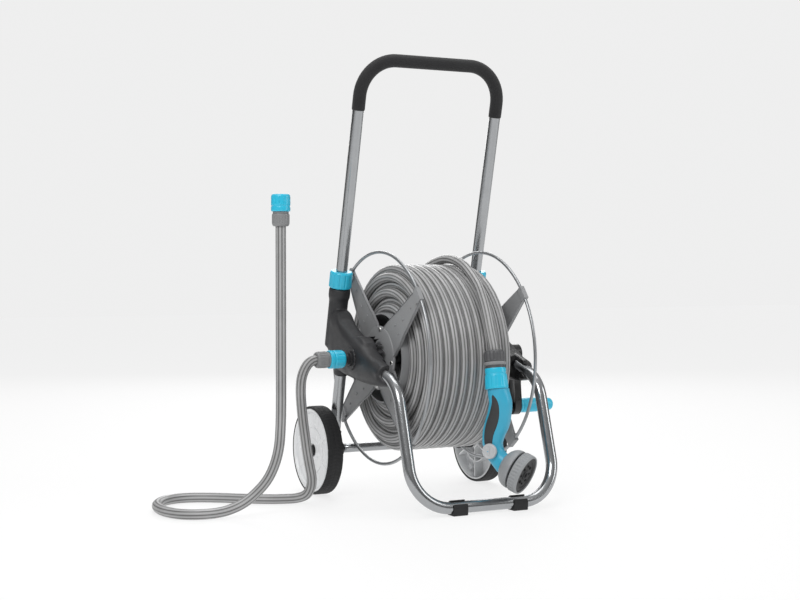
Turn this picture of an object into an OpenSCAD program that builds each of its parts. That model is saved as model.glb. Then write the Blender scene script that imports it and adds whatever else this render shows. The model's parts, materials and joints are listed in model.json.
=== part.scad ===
// Garden hose reel cart: a tube frame on two wheels and two feet, a handle that
// slides down, a reel with its wound hose, a spray gun and a feed hose.
// Millimetres. X runs along the reel axis, the gun and front bar are at -Y, +Z is up.

/* [Tubes] */
// Outside diameter of the handle, front and rear frame tubes
tube_d = 20; // [16:1:22]
// Wall thickness of the frame tubes
tube_wall = 1.2; // [0.8:0.1:2]
// Distance from the middle plane to the handle and leg tubes
leg_x = 138; // [132:1:144]

/* [Handle] */
// Height of the handle's cross bar, at its centre
bar_z = 764; // [700:1:820]
// Forward lean of the handle and of the rear legs, in degrees
lean = 13.4; // [10:0.2:16]
// Bend radius of the handle's corners
handle_bend = 64; // [50:1:75]
// Outside diameter of the foam grip
grip_d = 23; // [22:0.5:28]
// How far the handle slides down
handle_travel = 120; // [60:5:130]

/* [Front frame] */
// Height of the front bar, at its centre
bar_low_z = 12.5; // [12:0.5:16]
// Distance from the reel axis forward to the front bar
bar_low_y = 197.6; // [190:0.2:210]
// Bend radius of the front bar's corners
low_bend = 68; // [55:1:75]
// Bend radius where each front leg turns into its bracket
high_bend = 60; // [50:1:70]
// Distance from the middle plane to each foot
foot_x = 58; // [45:1:65]
// Length of each foot
foot_len = 27; // [20:1:34]

/* [Wheels] */
// Wheel diameter
wheel_d = 158; // [150:1:170]
// Wheel width
wheel_w = 30; // [24:1:36]
// Distance from the middle plane to each wheel's inner face
wheel_x = 153.5; // [152:0.5:158]
// Diameter of the rim that the tyre sits on
rim_d = 149; // [140:1:152]

/* [Reel] */
// Height of the reel axis
reel_z = 248.3; // [240:0.1:260]
// Radius of each flange ring, to its rod's centre
ring_r = 184; // [176:0.5:186]
// Diameter of the flange ring's rod
ring_rod = 5.6; // [4:0.1:7]
// Distance from the middle plane to each flange ring
ring_x = 101.7; // [100:0.1:104]
// Outside radius of the drum
drum_r = 79; // [72:1:84]
// Angle of the first spoke above the front
spoke_angle = 38; // [30:1:45]

/* [Hose] */
// Outside diameter of the hose on the reel
hose_d = 16.4; // [14:0.1:18]
// Outside diameter of the feed hose
feed_d = 17.2; // [14:0.1:18]
// Turns of hose side by side on the drum
hose_turns = 10; // [8:1:11]
// Layers of hose on the drum
hose_layers = 6; // [4:1:6]
// Distance between layers of hose
layer_pitch = 13.5; // [12:0.1:14.2]

/* [Crank] */
// Distance from the reel axis to the crank grip
crank_r = 96; // [80:1:110]
// Length of the crank grip
crank_grip_len = 73; // [60:1:80]

/* [Hidden] */

$fn = 48;

// Colours
blue = [0.12, 0.68, 0.85];
charcoal = [0.17, 0.17, 0.18];
hose_grey = [0.55, 0.55, 0.56];
part_grey = [0.45, 0.45, 0.46];
bright = [0.78, 0.79, 0.8];

// Middle of the whole object's box, without its hoses, in the reel's frame
middle_x = 33.2;
middle_y = -32.7;

tube_r = tube_d / 2;
fit = 0.05;
gap = 0.3;
seam = 0.03;

// The handle's line passes this point, and the rear legs run parallel in front of it
line_y = 74.4;
line_z = 400;
leg_offset = 37.8;
s_top = (bar_z - line_z) / cos(lean);
s_bottom = -130;
s_grip = 285;
s_open = s_bottom - handle_travel - 10;
collar_h = 30;
collar_r = 20.5;
spigot_r = 15;
spigot_top = -14;

// Front legs
leg_back = 16.8;
socket_rise = 18;
turn = 90 - leg_back - socket_rise;
leg_len = 208.2;
leg_straight = leg_len - high_bend * tan(turn / 2);
nose_len = 66;
nose_open = 30;

// Wheels and axle: the axle stands on the rear legs' line
wheel_r = wheel_d / 2;
axle_z = wheel_r;
axle_y = line_y + (line_z - axle_z) * tan(lean) - leg_offset / cos(lean);
rod_r = 4;
axle_tube_r = 8;
axle_end = wheel_x + wheel_w - 2;
clamp_out = 150;
clamp_in = 122;
clamp_r = 12;
leg_low = (axle_z - line_z) / cos(lean) + leg_offset * tan(lean);
leg_top = -142;

// Reel bearings and crank
journal_r = 16;
bush_r = 20;
nipple_r = 6;
bracket_in = 119;
bracket_out = 157;
screw_r = 1.7;
flange_in = 98;
arm_x = 169;
arm_w = 14;
outlet_x = -20;
outlet_w = 16;
outlet_r = 22;

// Wound hose
hose_r = hose_d / 2;
winding_mid = -5;
winding_w = hose_turns * hose_d;
winding_r = drum_r + hose_d + (hose_layers - 1) * layer_pitch;

// Quick connectors, at the size of the feed hose
sleeve_r = 15.75;
sleeve_len = 28;
nut_r = 14.4;
nut_len = 24;
nut_top = nut_len + sleeve_len - 31.6;
core_r = 11;
neck_r = 12.9;
neck_end = 31.5;
socket_r = 8.6;
socket_len = 22;
sleeve_travel = 3;
mouth_x = -171.6;
tap_at = [-317, -70, 525];

// Spray gun, hung from the end of the wound hose
gun_scale = 1.24;
gun_at = [19.5, -193.5, 204];
gun_lean = 9;
body_at = [19.5, -188, 204];
gun_turn = 33.5;
head_at = [0, -57.5, -142];
head_dip = 23;
nipple_fit = socket_r * gun_scale - fit;

// Route of the feed hose, from the inlet to the tap
feed_route = [[-215.7, 0, 248.3], [-226, 0, 248.3], [-236, 0, 243], [-244, 0, 232],
    [-249, 1, 216], [-250, 2, 195], [-248, 3, 170], [-245, 4, 145], [-241, 5, 120],
    [-237, 6, 95], [-232, 7, 70], [-227, 9, 48], [-226, 14, 30], [-231, 22, 16],
    [-243, 31, 10], [-262, 38, 8.7], [-290, 50, 8.7], [-322, 72, 8.7],
    [-356, 100, 8.7], [-390, 122, 8.7], [-424, 129, 8.7], [-455, 114, 8.7],
    [-477, 82, 8.7], [-487, 44, 8.7], [-486, 6, 8.7], [-474, -24, 8.7],
    [-450, -41, 8.7], [-421, -46, 9.5], [-396, -48, 14], [-374, -52, 24],
    [-355, -58, 40], [-339, -64, 60], [-328, -68, 84], [-321, -70, 112],
    [-318, -70, 145], [-317, -70, 190], [-317, -70, 260], [-317, -70, 340],
    [-317, -70, 410], [-317, -70, 480.9]];

// Route of the hose's free end, over the top of the reel to the gun
tail_route = [[36, 111, 380], [35.5, 86, 397.5], [35, 59, 410.3], [34, 0, 420.7], [32, -59, 410.3],
    [29, -111, 380], [26, -138, 352], [23.5, -155, 327], [21, -168, 304], [19.7, -178, 284],
    [19.5, -182.7, 272], [19.5, -184.8, 259]];

// ---- Helpers -------------------------------------------------------------

module place() translate([-middle_x, -middle_y, 0]) children();

// Puts children on the handle's line, s millimetres up from its named point
module on_line(s, forward = 0)
    translate([0, line_y, line_z]) rotate([lean, 0, 0]) translate([0, -forward, s]) children();

module side(sx) {
    if (sx < 0) mirror([1, 0, 0]) children();
    else children();
}

module ring_body(r_out, r_in, h, from_z = 0) translate([0, 0, from_z]) difference() {
    cylinder(h = h, r = r_out);
    translate([0, 0, -1]) cylinder(h = h + 2, r = r_in);
}

module along_x(x) translate([x, 0, 0]) rotate([0, 90, 0]) children();

module at_reel() translate([0, 0, reel_z]) children();

// A screw with a domed head, standing on z = 0 with its shank down
module screw(head_r, shank_r, len) {
    cylinder(h = 1.6, r1 = head_r, r2 = head_r * 0.8);
    translate([0, 0, -len]) cylinder(h = len + 0.5, r = shank_r);
}

// Sweep of a round section along a route, as one polyhedron
function unit(v) = v / norm(v);
function route_dir(p, i) = unit(p[min(i + 1, len(p) - 1)] - p[max(i - 1, 0)]);
function turned(u, d) = unit(u - (u * d) * d);
function frames(p, i, u) = i >= len(p) ? []
    : let (v = turned(u, route_dir(p, i))) concat([v], frames(p, i + 1, v));
function spline(a, b, c, d, t) = 0.5 * (2 * b + (c - a) * t
    + (2 * a - 5 * b + 4 * c - d) * t * t + (3 * b - a - 3 * c + d) * t * t * t);
function smooth(p, steps) = concat([for (i = [0 : len(p) - 2], k = [0 : steps - 1])
    spline(p[max(i - 1, 0)], p[i], p[i + 1], p[min(i + 2, len(p) - 1)], k / steps)],
    [p[len(p) - 1]]);

module swept(route, r, sides, up) {
    count = len(route);
    sideways = frames(route, 0, up);
    points = [for (i = [0 : count - 1], k = [0 : sides - 1])
        let (d = route_dir(route, i), u = sideways[i], w = cross(d, u))
            route[i] + r * (cos(360 * k / sides) * u + sin(360 * k / sides) * w)];
    walls = [for (i = [0 : count - 2], k = [0 : sides - 1])
        let (n = (k + 1) % sides)
            [i * sides + k, (i + 1) * sides + k, (i + 1) * sides + n, i * sides + n]];
    polyhedron(points, concat([[for (k = [0 : sides - 1]) k]], walls,
        [[for (k = [sides - 1 : -1 : 0]) (count - 1) * sides + k]]), convexity = 6);
}

// ---- Handle --------------------------------------------------------------

module handle_path(r, from_s) {
    bend_s = s_top - handle_bend;
    for (sx = [-1, 1]) side(sx) {
        translate([leg_x, 0, from_s]) cylinder(h = bend_s - from_s, r = r);
        translate([leg_x - handle_bend, 0, bend_s]) rotate([90, 0, 0])
            rotate_extrude(angle = 90) translate([handle_bend, 0]) circle(r = r);
    }
    translate([0, 0, s_top]) along_x(handle_bend - leg_x)
        cylinder(h = 2 * (leg_x - handle_bend), r = r);
}

module handle_tube() color(bright) on_line(0) difference() {
    handle_path(tube_r, s_bottom);
    handle_path(tube_r - tube_wall, s_bottom - 1);
}

module handle_grip() color(charcoal) on_line(0) difference() {
    handle_path(grip_d / 2, s_grip);
    handle_path(tube_r + fit, s_grip - 1);
}

// Twist-lock collar: screws down over the bracket's spigot onto the collet
module collar() on_line(-collar_h - 1) translate([leg_x, 0, 0]) difference() {
    union() {
        cylinder(h = 2, r1 = collar_r - 1.5, r2 = collar_r);
        translate([0, 0, 2]) cylinder(h = collar_h - 5, r = collar_r);
        translate([0, 0, collar_h - 3]) cylinder(h = 3, r1 = collar_r, r2 = collar_r - 2.5);
    }
    translate([0, 0, -1]) cylinder(h = collar_h + 2, r = tube_r + fit);
    translate([0, 0, -1]) cylinder(h = collar_h - 3, r = spigot_r + gap);
    for (k = [0 : 11]) rotate(30 * k + 15) translate([collar_r + 1.1, 0, 3])
        cylinder(h = collar_h - 7, r = 2);
}

module collar_left() color(blue) side(-1) collar();
module collar_right() color(blue) collar();

// Split ring that the collar squeezes onto the handle tube
module collet() on_line(spigot_top + 0.5) translate([leg_x, 0, 0]) difference() {
    ring_body(spigot_r - 1, tube_r + 0.1, 8);
    translate([0, -1, -1]) cube([spigot_r + 2, 2, 10]);
}

module collet_left() color("white") side(-1) collet();
module collet_right() color("white") collet();

// ---- Brackets ------------------------------------------------------------

// Direction into the bracket from the front leg's last bend
module at_nose() translate([leg_x, -bar_low_y, bar_low_z]) rotate([-leg_back, 0, 0])
    translate([0, high_bend * (1 - cos(turn)), leg_straight + high_bend * sin(turn)])
        rotate([-turn, 0, 0]) children();

module handle_socket(r, low, high)
    on_line(low) translate([leg_x, 0, 0]) cylinder(h = high - low, r = r);

module hub_disc(r, x_in, x_out)
    at_reel() along_x(x_in) cylinder(h = x_out - x_in, r = r);

module leg_socket(r, low, high)
    on_line(low, leg_offset) translate([leg_x, 0, 0]) cylinder(h = high - low, r = r);

// The bracket's outline from the side, as [y, z]
bracket_outline = [[108, 328], [113, 310], [118, 280], [112, 261], [97, 243], [79, 226],
    [66, 222], [33, 215], [-12, 209], [-56, 205], [-98, 206], [-108, 216], [-76, 247],
    [-46, 262], [-22, 276], [18, 293], [50, 311], [70, 330]];

module bracket_body() {
    handle_socket(19.5, -50, -collar_h - 1.5);
    handle_socket(spigot_r, -60, spigot_top);
    handle_socket(17.5, -140, -48);
    translate([leg_x - 15, 0, 0]) rotate([90, 0, 90]) linear_extrude(30)
        polygon(bracket_outline);
    leg_socket(14, -182, -150);
    at_nose() translate([0, 0, 12]) cylinder(h = nose_len - 12, r = 17);
    hub_disc(40, leg_x - 17, leg_x + 17);
    hub_disc(27, bracket_in, leg_x);
}

module bracket() difference() {
    bracket_body();
    handle_socket(tube_r + 0.1, s_open, 0);
    leg_socket(tube_r + fit, -200, -140);
    at_nose() translate([0, 0, -10]) cylinder(h = nose_len + 12, r = tube_r + fit);
    hub_disc(bush_r + fit, bracket_in - 1, bracket_in + 22);
    hub_disc(nipple_r + 2.1, bracket_in, bracket_out + 20);
    at_nose() translate([-nose_open, -tube_d, 8]) cube([nose_open - 4, 2 * tube_d, 34]);
    at_bracket_screws() translate([0, 0, -8]) cylinder(h = 10, r = screw_r + fit);
}

// Places the three screws that hold a bracket on its tubes, from the inner side
module at_bracket_screws() {
    on_line(-104) translate([leg_x - 17.5, 0, 0]) rotate([0, -90, 0]) children();
    on_line(-158, leg_offset) translate([leg_x - 15, 0, 0]) rotate([0, -90, 0]) children();
    at_nose() translate([-17, 0, 48]) rotate([0, -90, 0]) children();
}

module bracket_left() color(charcoal) {
    side(-1) bracket();
    side(-1) difference() {
        hub_disc(20, leg_x + 14, bracket_out + 2);
        hub_disc(nipple_r + 2.1, leg_x, bracket_out + 4);
        for (k = [0 : 11]) at_reel() along_x(leg_x + 17) rotate(30 * k)
            translate([20.6, 0, 0]) cylinder(h = 30, r = 1.6);
    }
}

module bracket_right() color([0.08, 0.08, 0.09]) {
    bracket();
    difference() {
        hub_disc(24, leg_x + 14, bracket_out);
        hub_disc(nipple_r + 2.1, leg_x, bracket_out + 4);
    }
}

module bracket_screws() color("silver") for (sx = [-1, 1]) side(sx)
    at_bracket_screws() screw(3.6, screw_r, 4.8);

// ---- Front frame ---------------------------------------------------------

// Each straight runs a little way into its bends, which are a hair thicker
module front_path(r, extra) {
    for (sx = [-1, 1]) side(sx) {
        translate([leg_x - low_bend, -bar_low_y, bar_low_z]) rotate([-leg_back, 0, 0])
            translate([0, 0, low_bend]) rotate([90, 0, 0])
                rotate_extrude(start = -90, angle = 90) translate([low_bend, 0])
                    circle(r = r + seam);
        translate([leg_x, -bar_low_y, bar_low_z]) rotate([-leg_back, 0, 0]) {
            translate([0, 0, low_bend - 1]) cylinder(h = leg_straight - low_bend + 2, r = r);
            translate([0, high_bend, leg_straight]) rotate([90, 0, -90])
                rotate_extrude(angle = turn) translate([high_bend, 0]) circle(r = r + seam);
        }
        at_nose() translate([0, 0, -1]) cylinder(h = nose_len + extra + 1, r = r);
    }
    translate([0, -bar_low_y, bar_low_z]) along_x(low_bend - leg_x - 1)
        cylinder(h = 2 * (leg_x - low_bend) + 2, r = r);
}

module front_tube() color(bright) difference() {
    front_path(tube_r, 0);
    front_path(tube_r - tube_wall, 1);
}

// Rubber foot clipped round the front bar, with a flat sole on the floor
module foot() translate([foot_x - foot_len / 2, -bar_low_y, 0]) difference() {
    union() {
        translate([0, 0, bar_low_z]) rotate([0, 90, 0]) cylinder(h = foot_len, r = tube_r + 2.4);
        translate([0, -10.5, 0]) cube([foot_len, 21, bar_low_z]);
    }
    translate([-1, 0, bar_low_z]) rotate([0, 90, 0]) cylinder(h = foot_len + 2, r = tube_r + fit);
    translate([-1, 1, bar_low_z + 4]) rotate([18, 0, 0])
        cube([foot_len + 2, 6, 20]);
}

module foot_left() color([0.1, 0.1, 0.1]) side(-1) foot();
module foot_right() color([0.1, 0.1, 0.1]) foot();

// ---- Rear legs, axle and wheels -----------------------------------------

module rear_leg() on_line(leg_low + 14, leg_offset) translate([leg_x, 0, 0])
    ring_body(tube_r, tube_r - tube_wall, leg_top - leg_low - 14);

module rear_leg_left() color(bright) side(-1) rear_leg();
module rear_leg_right() color(bright) rear_leg();

module at_axle() translate([0, axle_y, axle_z]) children();

// T-shaped fitting between a rear leg and the axle
module axle_clamp() difference() {
    union() {
        on_line(leg_low, leg_offset) translate([leg_x, 0, 0]) cylinder(h = 34, r = clamp_r);
        at_axle() along_x(clamp_in) cylinder(h = clamp_out - clamp_in, r = 14);
    }
    on_line(leg_low + 14, leg_offset) translate([leg_x, 0, 0]) cylinder(h = 40, r = tube_r + fit);
    at_axle() along_x(clamp_in - 1) cylinder(h = clamp_out - clamp_in + 2, r = rod_r + fit);
    at_axle() along_x(clamp_in - 1) cylinder(h = 9, r = axle_tube_r + fit);
}

module axle_clamp_left() color(charcoal) side(-1) axle_clamp();
module axle_clamp_right() color(charcoal) axle_clamp();

module axle_tube() color(bright) at_axle() along_x(-clamp_in - 8)
    ring_body(axle_tube_r, rod_r + 0.5, 2 * clamp_in + 16);

module axle_rod() color("silver") at_axle() along_x(-axle_end)
    cylinder(h = 2 * axle_end, r = rod_r);

module axle_washers() color("silver") for (sx = [-1, 1]) side(sx)
    at_axle() along_x(clamp_out + 0.2) ring_body(10, rod_r + fit, wheel_x - clamp_out - 0.6);

// Push-on caps that keep the wheels on the rod
module axle_caps() color([0.1, 0.1, 0.1]) for (sx = [-1, 1]) side(sx)
    at_axle() along_x(axle_end - 7) difference() {
        union() {
            cylinder(h = 7, r = 9);
            translate([0, 0, 7]) cylinder(h = 2.5, r1 = 9, r2 = 7);
        }
        translate([0, 0, -1]) cylinder(h = 8, r = rod_r);
    }

module at_wheel() at_axle() along_x(wheel_x) children();

module tyre() at_wheel() rotate_extrude() difference() {
    polygon([[rim_d / 2 + fit, 1.5], [wheel_r - 4, 0], [wheel_r - 1, 1.5], [wheel_r, 5],
        [wheel_r, wheel_w - 5], [wheel_r - 1, wheel_w - 1.5], [wheel_r - 4, wheel_w],
        [rim_d / 2 + fit, wheel_w - 1]]);
    for (k = [-1 : 1]) translate([wheel_r, wheel_w / 2 + 6 * k]) square([2.4, 1.6], center = true);
}

module tyre_left() color([0.08, 0.08, 0.08]) side(-1) tyre();
module tyre_right() color([0.08, 0.08, 0.08]) tyre();

// Moulded rim: a disc on the outer side, ribs and a hub behind it
module rim() at_wheel() difference() {
    union() {
        rotate_extrude() polygon([[0, wheel_w - 9], [22, wheel_w - 9], [rim_d / 2 - 3, wheel_w - 6],
            [rim_d / 2 - 3, 1], [rim_d / 2, 1], [rim_d / 2, wheel_w - 1.5],
            [rim_d / 2 - 1, wheel_w - 0.5], [rim_d / 2 - 4, wheel_w - 0.5],
            [rim_d / 2 - 7, wheel_w - 3], [22, wheel_w - 6], [0, wheel_w - 6]]);
        translate([0, 0, 1]) cylinder(h = wheel_w - 10, r = 14);
        for (k = [0 : 5]) rotate(60 * k) translate([12, -1.5, 6])
            cube([rim_d / 2 - 14, 3, wheel_w - 13]);
        translate([0, 0, 6]) ring_body(42, 39.5, wheel_w - 13);
    }
    translate([0, 0, -1]) cylinder(h = wheel_w + 2, r = rod_r + fit);
    translate([0, 0, wheel_w - 9.2]) cylinder(h = 20, r = 10);
    for (k = [0 : 5]) rotate(60 * k + 30) translate([55, 0, wheel_w - 12])
        cube([4.5, 12, 24], center = true);
}

module rim_left() color("gainsboro") side(-1) rim();
module rim_right() color("gainsboro") rim();

// ---- Reel ----------------------------------------------------------------

module bush() at_reel() along_x(bracket_in + 0.2)
    ring_body(bush_r, journal_r + fit, 20.8);

module bush_left() color("white") side(-1) bush();
module bush_right() color("white") bush();

// Water inlet: a male quick-connect end outside, a sealed tube inside the reel's journal
nipple_profile = [[4, -100], [nipple_r, -100], [nipple_r, -106], [4.6, -106], [4.6, -108.4],
    [nipple_r, -108.4], [nipple_r, -114], [4.6, -114], [4.6, -116.4], [nipple_r, -116.4],
    [nipple_r, -140], [8, -140], [8, -159.2], [13, -159.2], [13, -163], [9, -163],
    [9, -171], [8.5, -173], [8.5, -177], [7.2, -178], [7.2, -181], [8.5, -182],
    [8.5, -187], [7, -190], [4, -190]];

module inlet_nipple() color(charcoal) at_reel() rotate([0, 90, 0]) rotate_extrude()
    polygon(nipple_profile);

module nipple_seals() color([0.05, 0.05, 0.05]) for (x = [-107.2, -115.2])
    at_reel() along_x(x) rotate_extrude() translate([5.2, 0]) circle(r = 0.6, $fn = 24);

// Drum: a shell with a rib cross and a hub tube
module drum() color(part_grey) at_reel() along_x(-flange_in) {
    ring_body(drum_r, drum_r - 3, 2 * flange_in);
    difference() {
        union() {
            cylinder(h = 2 * flange_in, r = journal_r);
            for (k = [0 : 3]) rotate(90 * k + spoke_angle) translate([0, -1.5, 12])
                cube([drum_r - 1, 3, 2 * flange_in - 24]);
        }
        translate([0, 0, -1]) cylinder(h = 2 * flange_in + 2, r = nipple_r + fit);
        ring_body(outlet_r + fit, journal_r, outlet_w + 2 * fit,
            flange_in + outlet_x - outlet_w / 2 - fit);
    }
}

// One tapered spoke as a flat blade lying along +X, with a clasp round the ring rod
module spoke() {
    linear_extrude(4) polygon([[20, -26], [60, -29], [80, -26], [100, -22], [ring_r - 6, -12.5],
        [ring_r - 6, 12.5], [100, 22], [80, 26], [60, 29], [20, 26]]);
    for (sy = [-1, 1]) linear_extrude(6.5) polygon([[58, sy * 29], [80, sy * 26], [100, sy * 22],
        [ring_r - 8, sy * 12.5], [ring_r - 8, sy * 10.5], [100, sy * 20], [80, sy * 24],
        [58, sy * 27]]);
    translate([ring_r - 8, -12.5, 0]) cube([13, 25, 8.2]);
}

module flange() at_reel() along_x(flange_in) difference() {
    union() {
        cylinder(h = 5, r = 58);
        for (k = [0 : 3]) rotate(90 * k + 180 - spoke_angle) spoke();
        cylinder(h = 139 - flange_in, r = journal_r);
        ring_body(34, 31, 9);
    }
    translate([0, 0, -1]) cylinder(h = 60, r = nipple_r + fit);
    translate([0, 0, ring_x - flange_in]) rotate_extrude()
        translate([ring_r, 0]) circle(r = ring_rod / 2 + fit, $fn = 32);
    for (k = [0 : 3]) rotate(90 * k + 45 + 180 - spoke_angle) translate([50, 0, -1])
        cylinder(h = 10, r = 2.1);
}

module flange_left() color(part_grey) side(-1) flange();
module flange_right() color(part_grey) flange();

module ring() at_reel() along_x(ring_x) rotate_extrude()
    translate([ring_r, 0]) circle(r = ring_rod / 2, $fn = 32);

module ring_left() color("silver") side(-1) ring();
module ring_right() color("silver") ring();

// Screws through each flange's plate into the drum's end
module flange_screws() color("silver") for (sx = [-1, 1]) side(sx)
    at_reel() along_x(flange_in + 5.1) for (k = [0 : 3])
        rotate(90 * k + 45 + 180 - spoke_angle) translate([50, 0, 0]) screw(4, 2, 5.5);

// Elbow that leads water from the hub out through the drum's wall
module drum_outlet() color(blue) at_reel() along_x(outlet_x) {
    ring_body(outlet_r, journal_r + fit, outlet_w, -outlet_w / 2);
    rotate([0, 90, 0]) ring_body(6, 4, drum_r - 25, outlet_r - 1);
}

module hose_winding() color(hose_grey) at_reel() along_x(winding_mid - winding_w / 2)
    rotate_extrude($fn = 96) polygon([[drum_r + fit, 0], [winding_r - layer_pitch, 0],
        [winding_r - layer_pitch, hose_r], [winding_r, 2 * hose_r],
        [winding_r, winding_w - hose_r], [winding_r - hose_r, winding_w],
        [drum_r + fit, winding_w]]);

// ---- Crank ---------------------------------------------------------------

module crank_shaft() color("silver") at_reel() along_x(96)
    cylinder(h = arm_x + arm_w - 98, r = nipple_r);

module crank_arm() color([0.06, 0.06, 0.06]) at_reel() difference() {
    hull() {
        along_x(arm_x) cylinder(h = arm_w, r = 17, $fn = 32);
        translate([0, 0, -crank_r]) along_x(arm_x + 1) cylinder(h = arm_w - 1, r = 16, $fn = 32);
    }
    along_x(arm_x - 1) cylinder(h = arm_w - 1, r = nipple_r + fit);
    translate([0, 0, -crank_r]) along_x(arm_x - 1) cylinder(h = arm_w + 2, r = 4);
    translate([0, 0, -crank_r]) along_x(arm_x) cylinder(h = 4, r = 7.1);
}

module crank_pin() color("silver") at_reel() translate([0, 0, -crank_r]) along_x(arm_x + 0.5) {
    cylinder(h = 3, r = 7);
    cylinder(h = arm_w + crank_grip_len - 6, r = 4 - fit);
}

module crank_grip() color(blue) at_reel() translate([0, 0, -crank_r])
    along_x(arm_x + arm_w + 0.4) difference() {
        rotate_extrude() polygon([[0, 0], [12.5, 0], [13.5, 1.5], [13.2, 20], [12, crank_grip_len - 6],
            [10.5, crank_grip_len - 2], [7, crank_grip_len], [0, crank_grip_len]]);
        translate([0, 0, -1]) cylinder(h = crank_grip_len - 4, r = 4);
    }

// ---- Quick connectors ----------------------------------------------------

// Each stands with its mouth at z = 0 opening up, its hose below
module connector_core() rotate_extrude() polygon([[socket_r, 0], [core_r, 0], [core_r, -25],
    [neck_r, -25], [neck_r, -neck_end], [core_r, -neck_end], [core_r, -44], [4, -44],
    [4, -socket_len], [socket_r, -socket_len]]);

module connector_sleeve() translate([0, 0, -sleeve_len]) difference() {
    rotate_extrude() polygon([[neck_r + gap, 0], [sleeve_r - 0.6, 0], [sleeve_r, 1],
        [sleeve_r, 17], [sleeve_r - 0.8, 18], [sleeve_r - 0.8, 20], [sleeve_r, 21],
        [sleeve_r - 0.3, sleeve_len - 3], [sleeve_r - 2, sleeve_len], [core_r + gap, sleeve_len],
        [core_r + gap, sleeve_travel + 4], [neck_r + gap, sleeve_travel + 4]]);
    for (k = [0 : 11]) rotate(30 * k) translate([sleeve_r + 0.7, 0, 2])
        cylinder(h = 14, r = 1.2, $fn = 24);
}

module connector_nut(hose) translate([0, 0, -sleeve_len - nut_len]) difference() {
    rotate_extrude() polygon([[hose / 2 + fit, 0], [nut_r - 2.5, 0], [nut_r, 5],
        [nut_r, nut_top - 1.5], [nut_r - 1.5, nut_top], [core_r + fit, nut_top],
        [core_r + fit, 7.5], [hose / 2 + fit, 7.5]]);
    for (k = [0 : 5]) rotate(60 * k) translate([nut_r + 1.4, 0, 7])
        cylinder(h = nut_len, r = 2.2, $fn = 24);
}

// The hose end that the nut clamps lies inside the nut
module at_inlet() at_reel() translate([mouth_x, 0, 0]) rotate([0, 90, 0]) children();
module at_tap() translate(tap_at) children();
module at_gun_axis() translate(gun_at) rotate([-gun_lean, 0, 0]) children();
module at_gun_end() at_gun_axis() mirror([0, 0, 1]) scale(gun_scale) children();

module inlet_connector() color(part_grey) at_inlet() connector_core();
module inlet_sleeve() color(blue) at_inlet() connector_sleeve();
module inlet_nut() color([0.5, 0.5, 0.5]) at_inlet() connector_nut(feed_d);
module tap_connector() color(part_grey) at_tap() connector_core();
module tap_sleeve() color(blue) at_tap() connector_sleeve();
module tap_nut() color([0.5, 0.5, 0.5]) at_tap() connector_nut(feed_d);
module gun_connector() color(part_grey) at_gun_end() connector_core();
module gun_sleeve() color(blue) at_gun_end() connector_sleeve();
module gun_nut() color([0.35, 0.35, 0.37]) at_gun_end() connector_nut(hose_d / gun_scale);

module feed_hose() color(hose_grey) swept(feed_route, feed_d / 2, 10, [0, 1, 0]);
module hose_tail() color(hose_grey) swept(smooth(tail_route, 3), hose_d / 2, 10, [1, 0, 0]);

// ---- Spray gun -----------------------------------------------------------

// The gun hangs from its connector: its handle's axis is local Z and its nozzle faces local -Y
module at_gun() translate(body_at) rotate([0, 0, gun_turn]) children();

// Male end that the gun's connector holds, with its foot inside the handle
module gun_nipple() color([0.3, 0.3, 0.31]) at_gun_axis() ring_body(nipple_fit, 6, 38, -14);

module at_gun_back() rotate([0, 0, -gun_turn]) translate(-body_at) children();

module egg(p, rx, ry, rz) translate(p) scale([rx, ry, rz]) sphere(r = 1, $fn = 32);

// The handle's outline from the side: one blade per station, [y, z, half depth, half width]
handle_stations = [[-5, -9, 18, 17], [-8, -24, 21.5, 16.5], [-3, -57, 22, 15.5],
    [4.5, -87, 18, 14.5], [-1, -106, 16, 14], [-12, -120, 16, 14]];

module station(p) egg([0, p[0], p[1]], p[3], p[2], 8);

module handle_shape() for (i = [0 : len(handle_stations) - 2]) hull() {
    station(handle_stations[i]);
    station(handle_stations[i + 1]);
}

// Pocket in the handle's side for the soft pad
module pad_space(extra) translate([-16, -2, -46])
    cube([8 + 2 * extra, 14 + 2 * extra, 64 + 2 * extra], center = true);

module in_head() translate(head_at) rotate([90 + head_dip, 0, 0]) children();
module at_head() at_gun() in_head() children();

module gun_body() color(blue) at_gun() difference() {
    handle_shape();
    pad_space(fit);
    in_head() shroud_shape(0.1);
    at_gun_back() at_gun_axis() translate([0, 0, -0.4]) cylinder(h = 40, r = 40);
    at_gun_back() at_gun_axis() translate([0, 0, -14]) cylinder(h = 40, r = nipple_fit + fit);
}

module gun_inset() color([0.25, 0.25, 0.26]) at_gun() intersection() {
    handle_shape();
    pad_space(0);
}

module gun_knob() color([0.62, 0.62, 0.63]) at_gun()
    translate([-22.4, 2, -103]) rotate([0, 90, 0]) cylinder(h = 7.5, r = 13);

module shroud_shape(extra) rotate_extrude() polygon([[0, -46 - extra], [13, -46 - extra],
    [23 + extra, -42 - extra], [30 + extra, -36 - extra], [33.5 + extra, -28], [33.5 + extra, -21],
    [0, -21]]);

module gun_shroud() color([0.5, 0.5, 0.51]) at_head() shroud_shape(0);

module gun_ring() color([0.6, 0.6, 0.61]) at_head() difference() {
    rotate_extrude() polygon([[27, -18.4], [33.5, -18.4], [34.5, -17], [34.5, -4], [33, -1],
        [30, 0], [27, -1]]);
    for (k = [0 : 35]) rotate(10 * k) translate([35.6, 0, -15]) cylinder(h = 9, r = 1.6, $fn = 16);
}

module gun_face() color([0.1, 0.1, 0.1]) at_head() {
    translate([0, 0, -20.8]) cylinder(h = 18.8, r = 26.9);
    translate([0, 0, -2.5]) cylinder(h = 2, r = 24);
}

// ---- Assembly ------------------------------------------------------------

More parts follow.
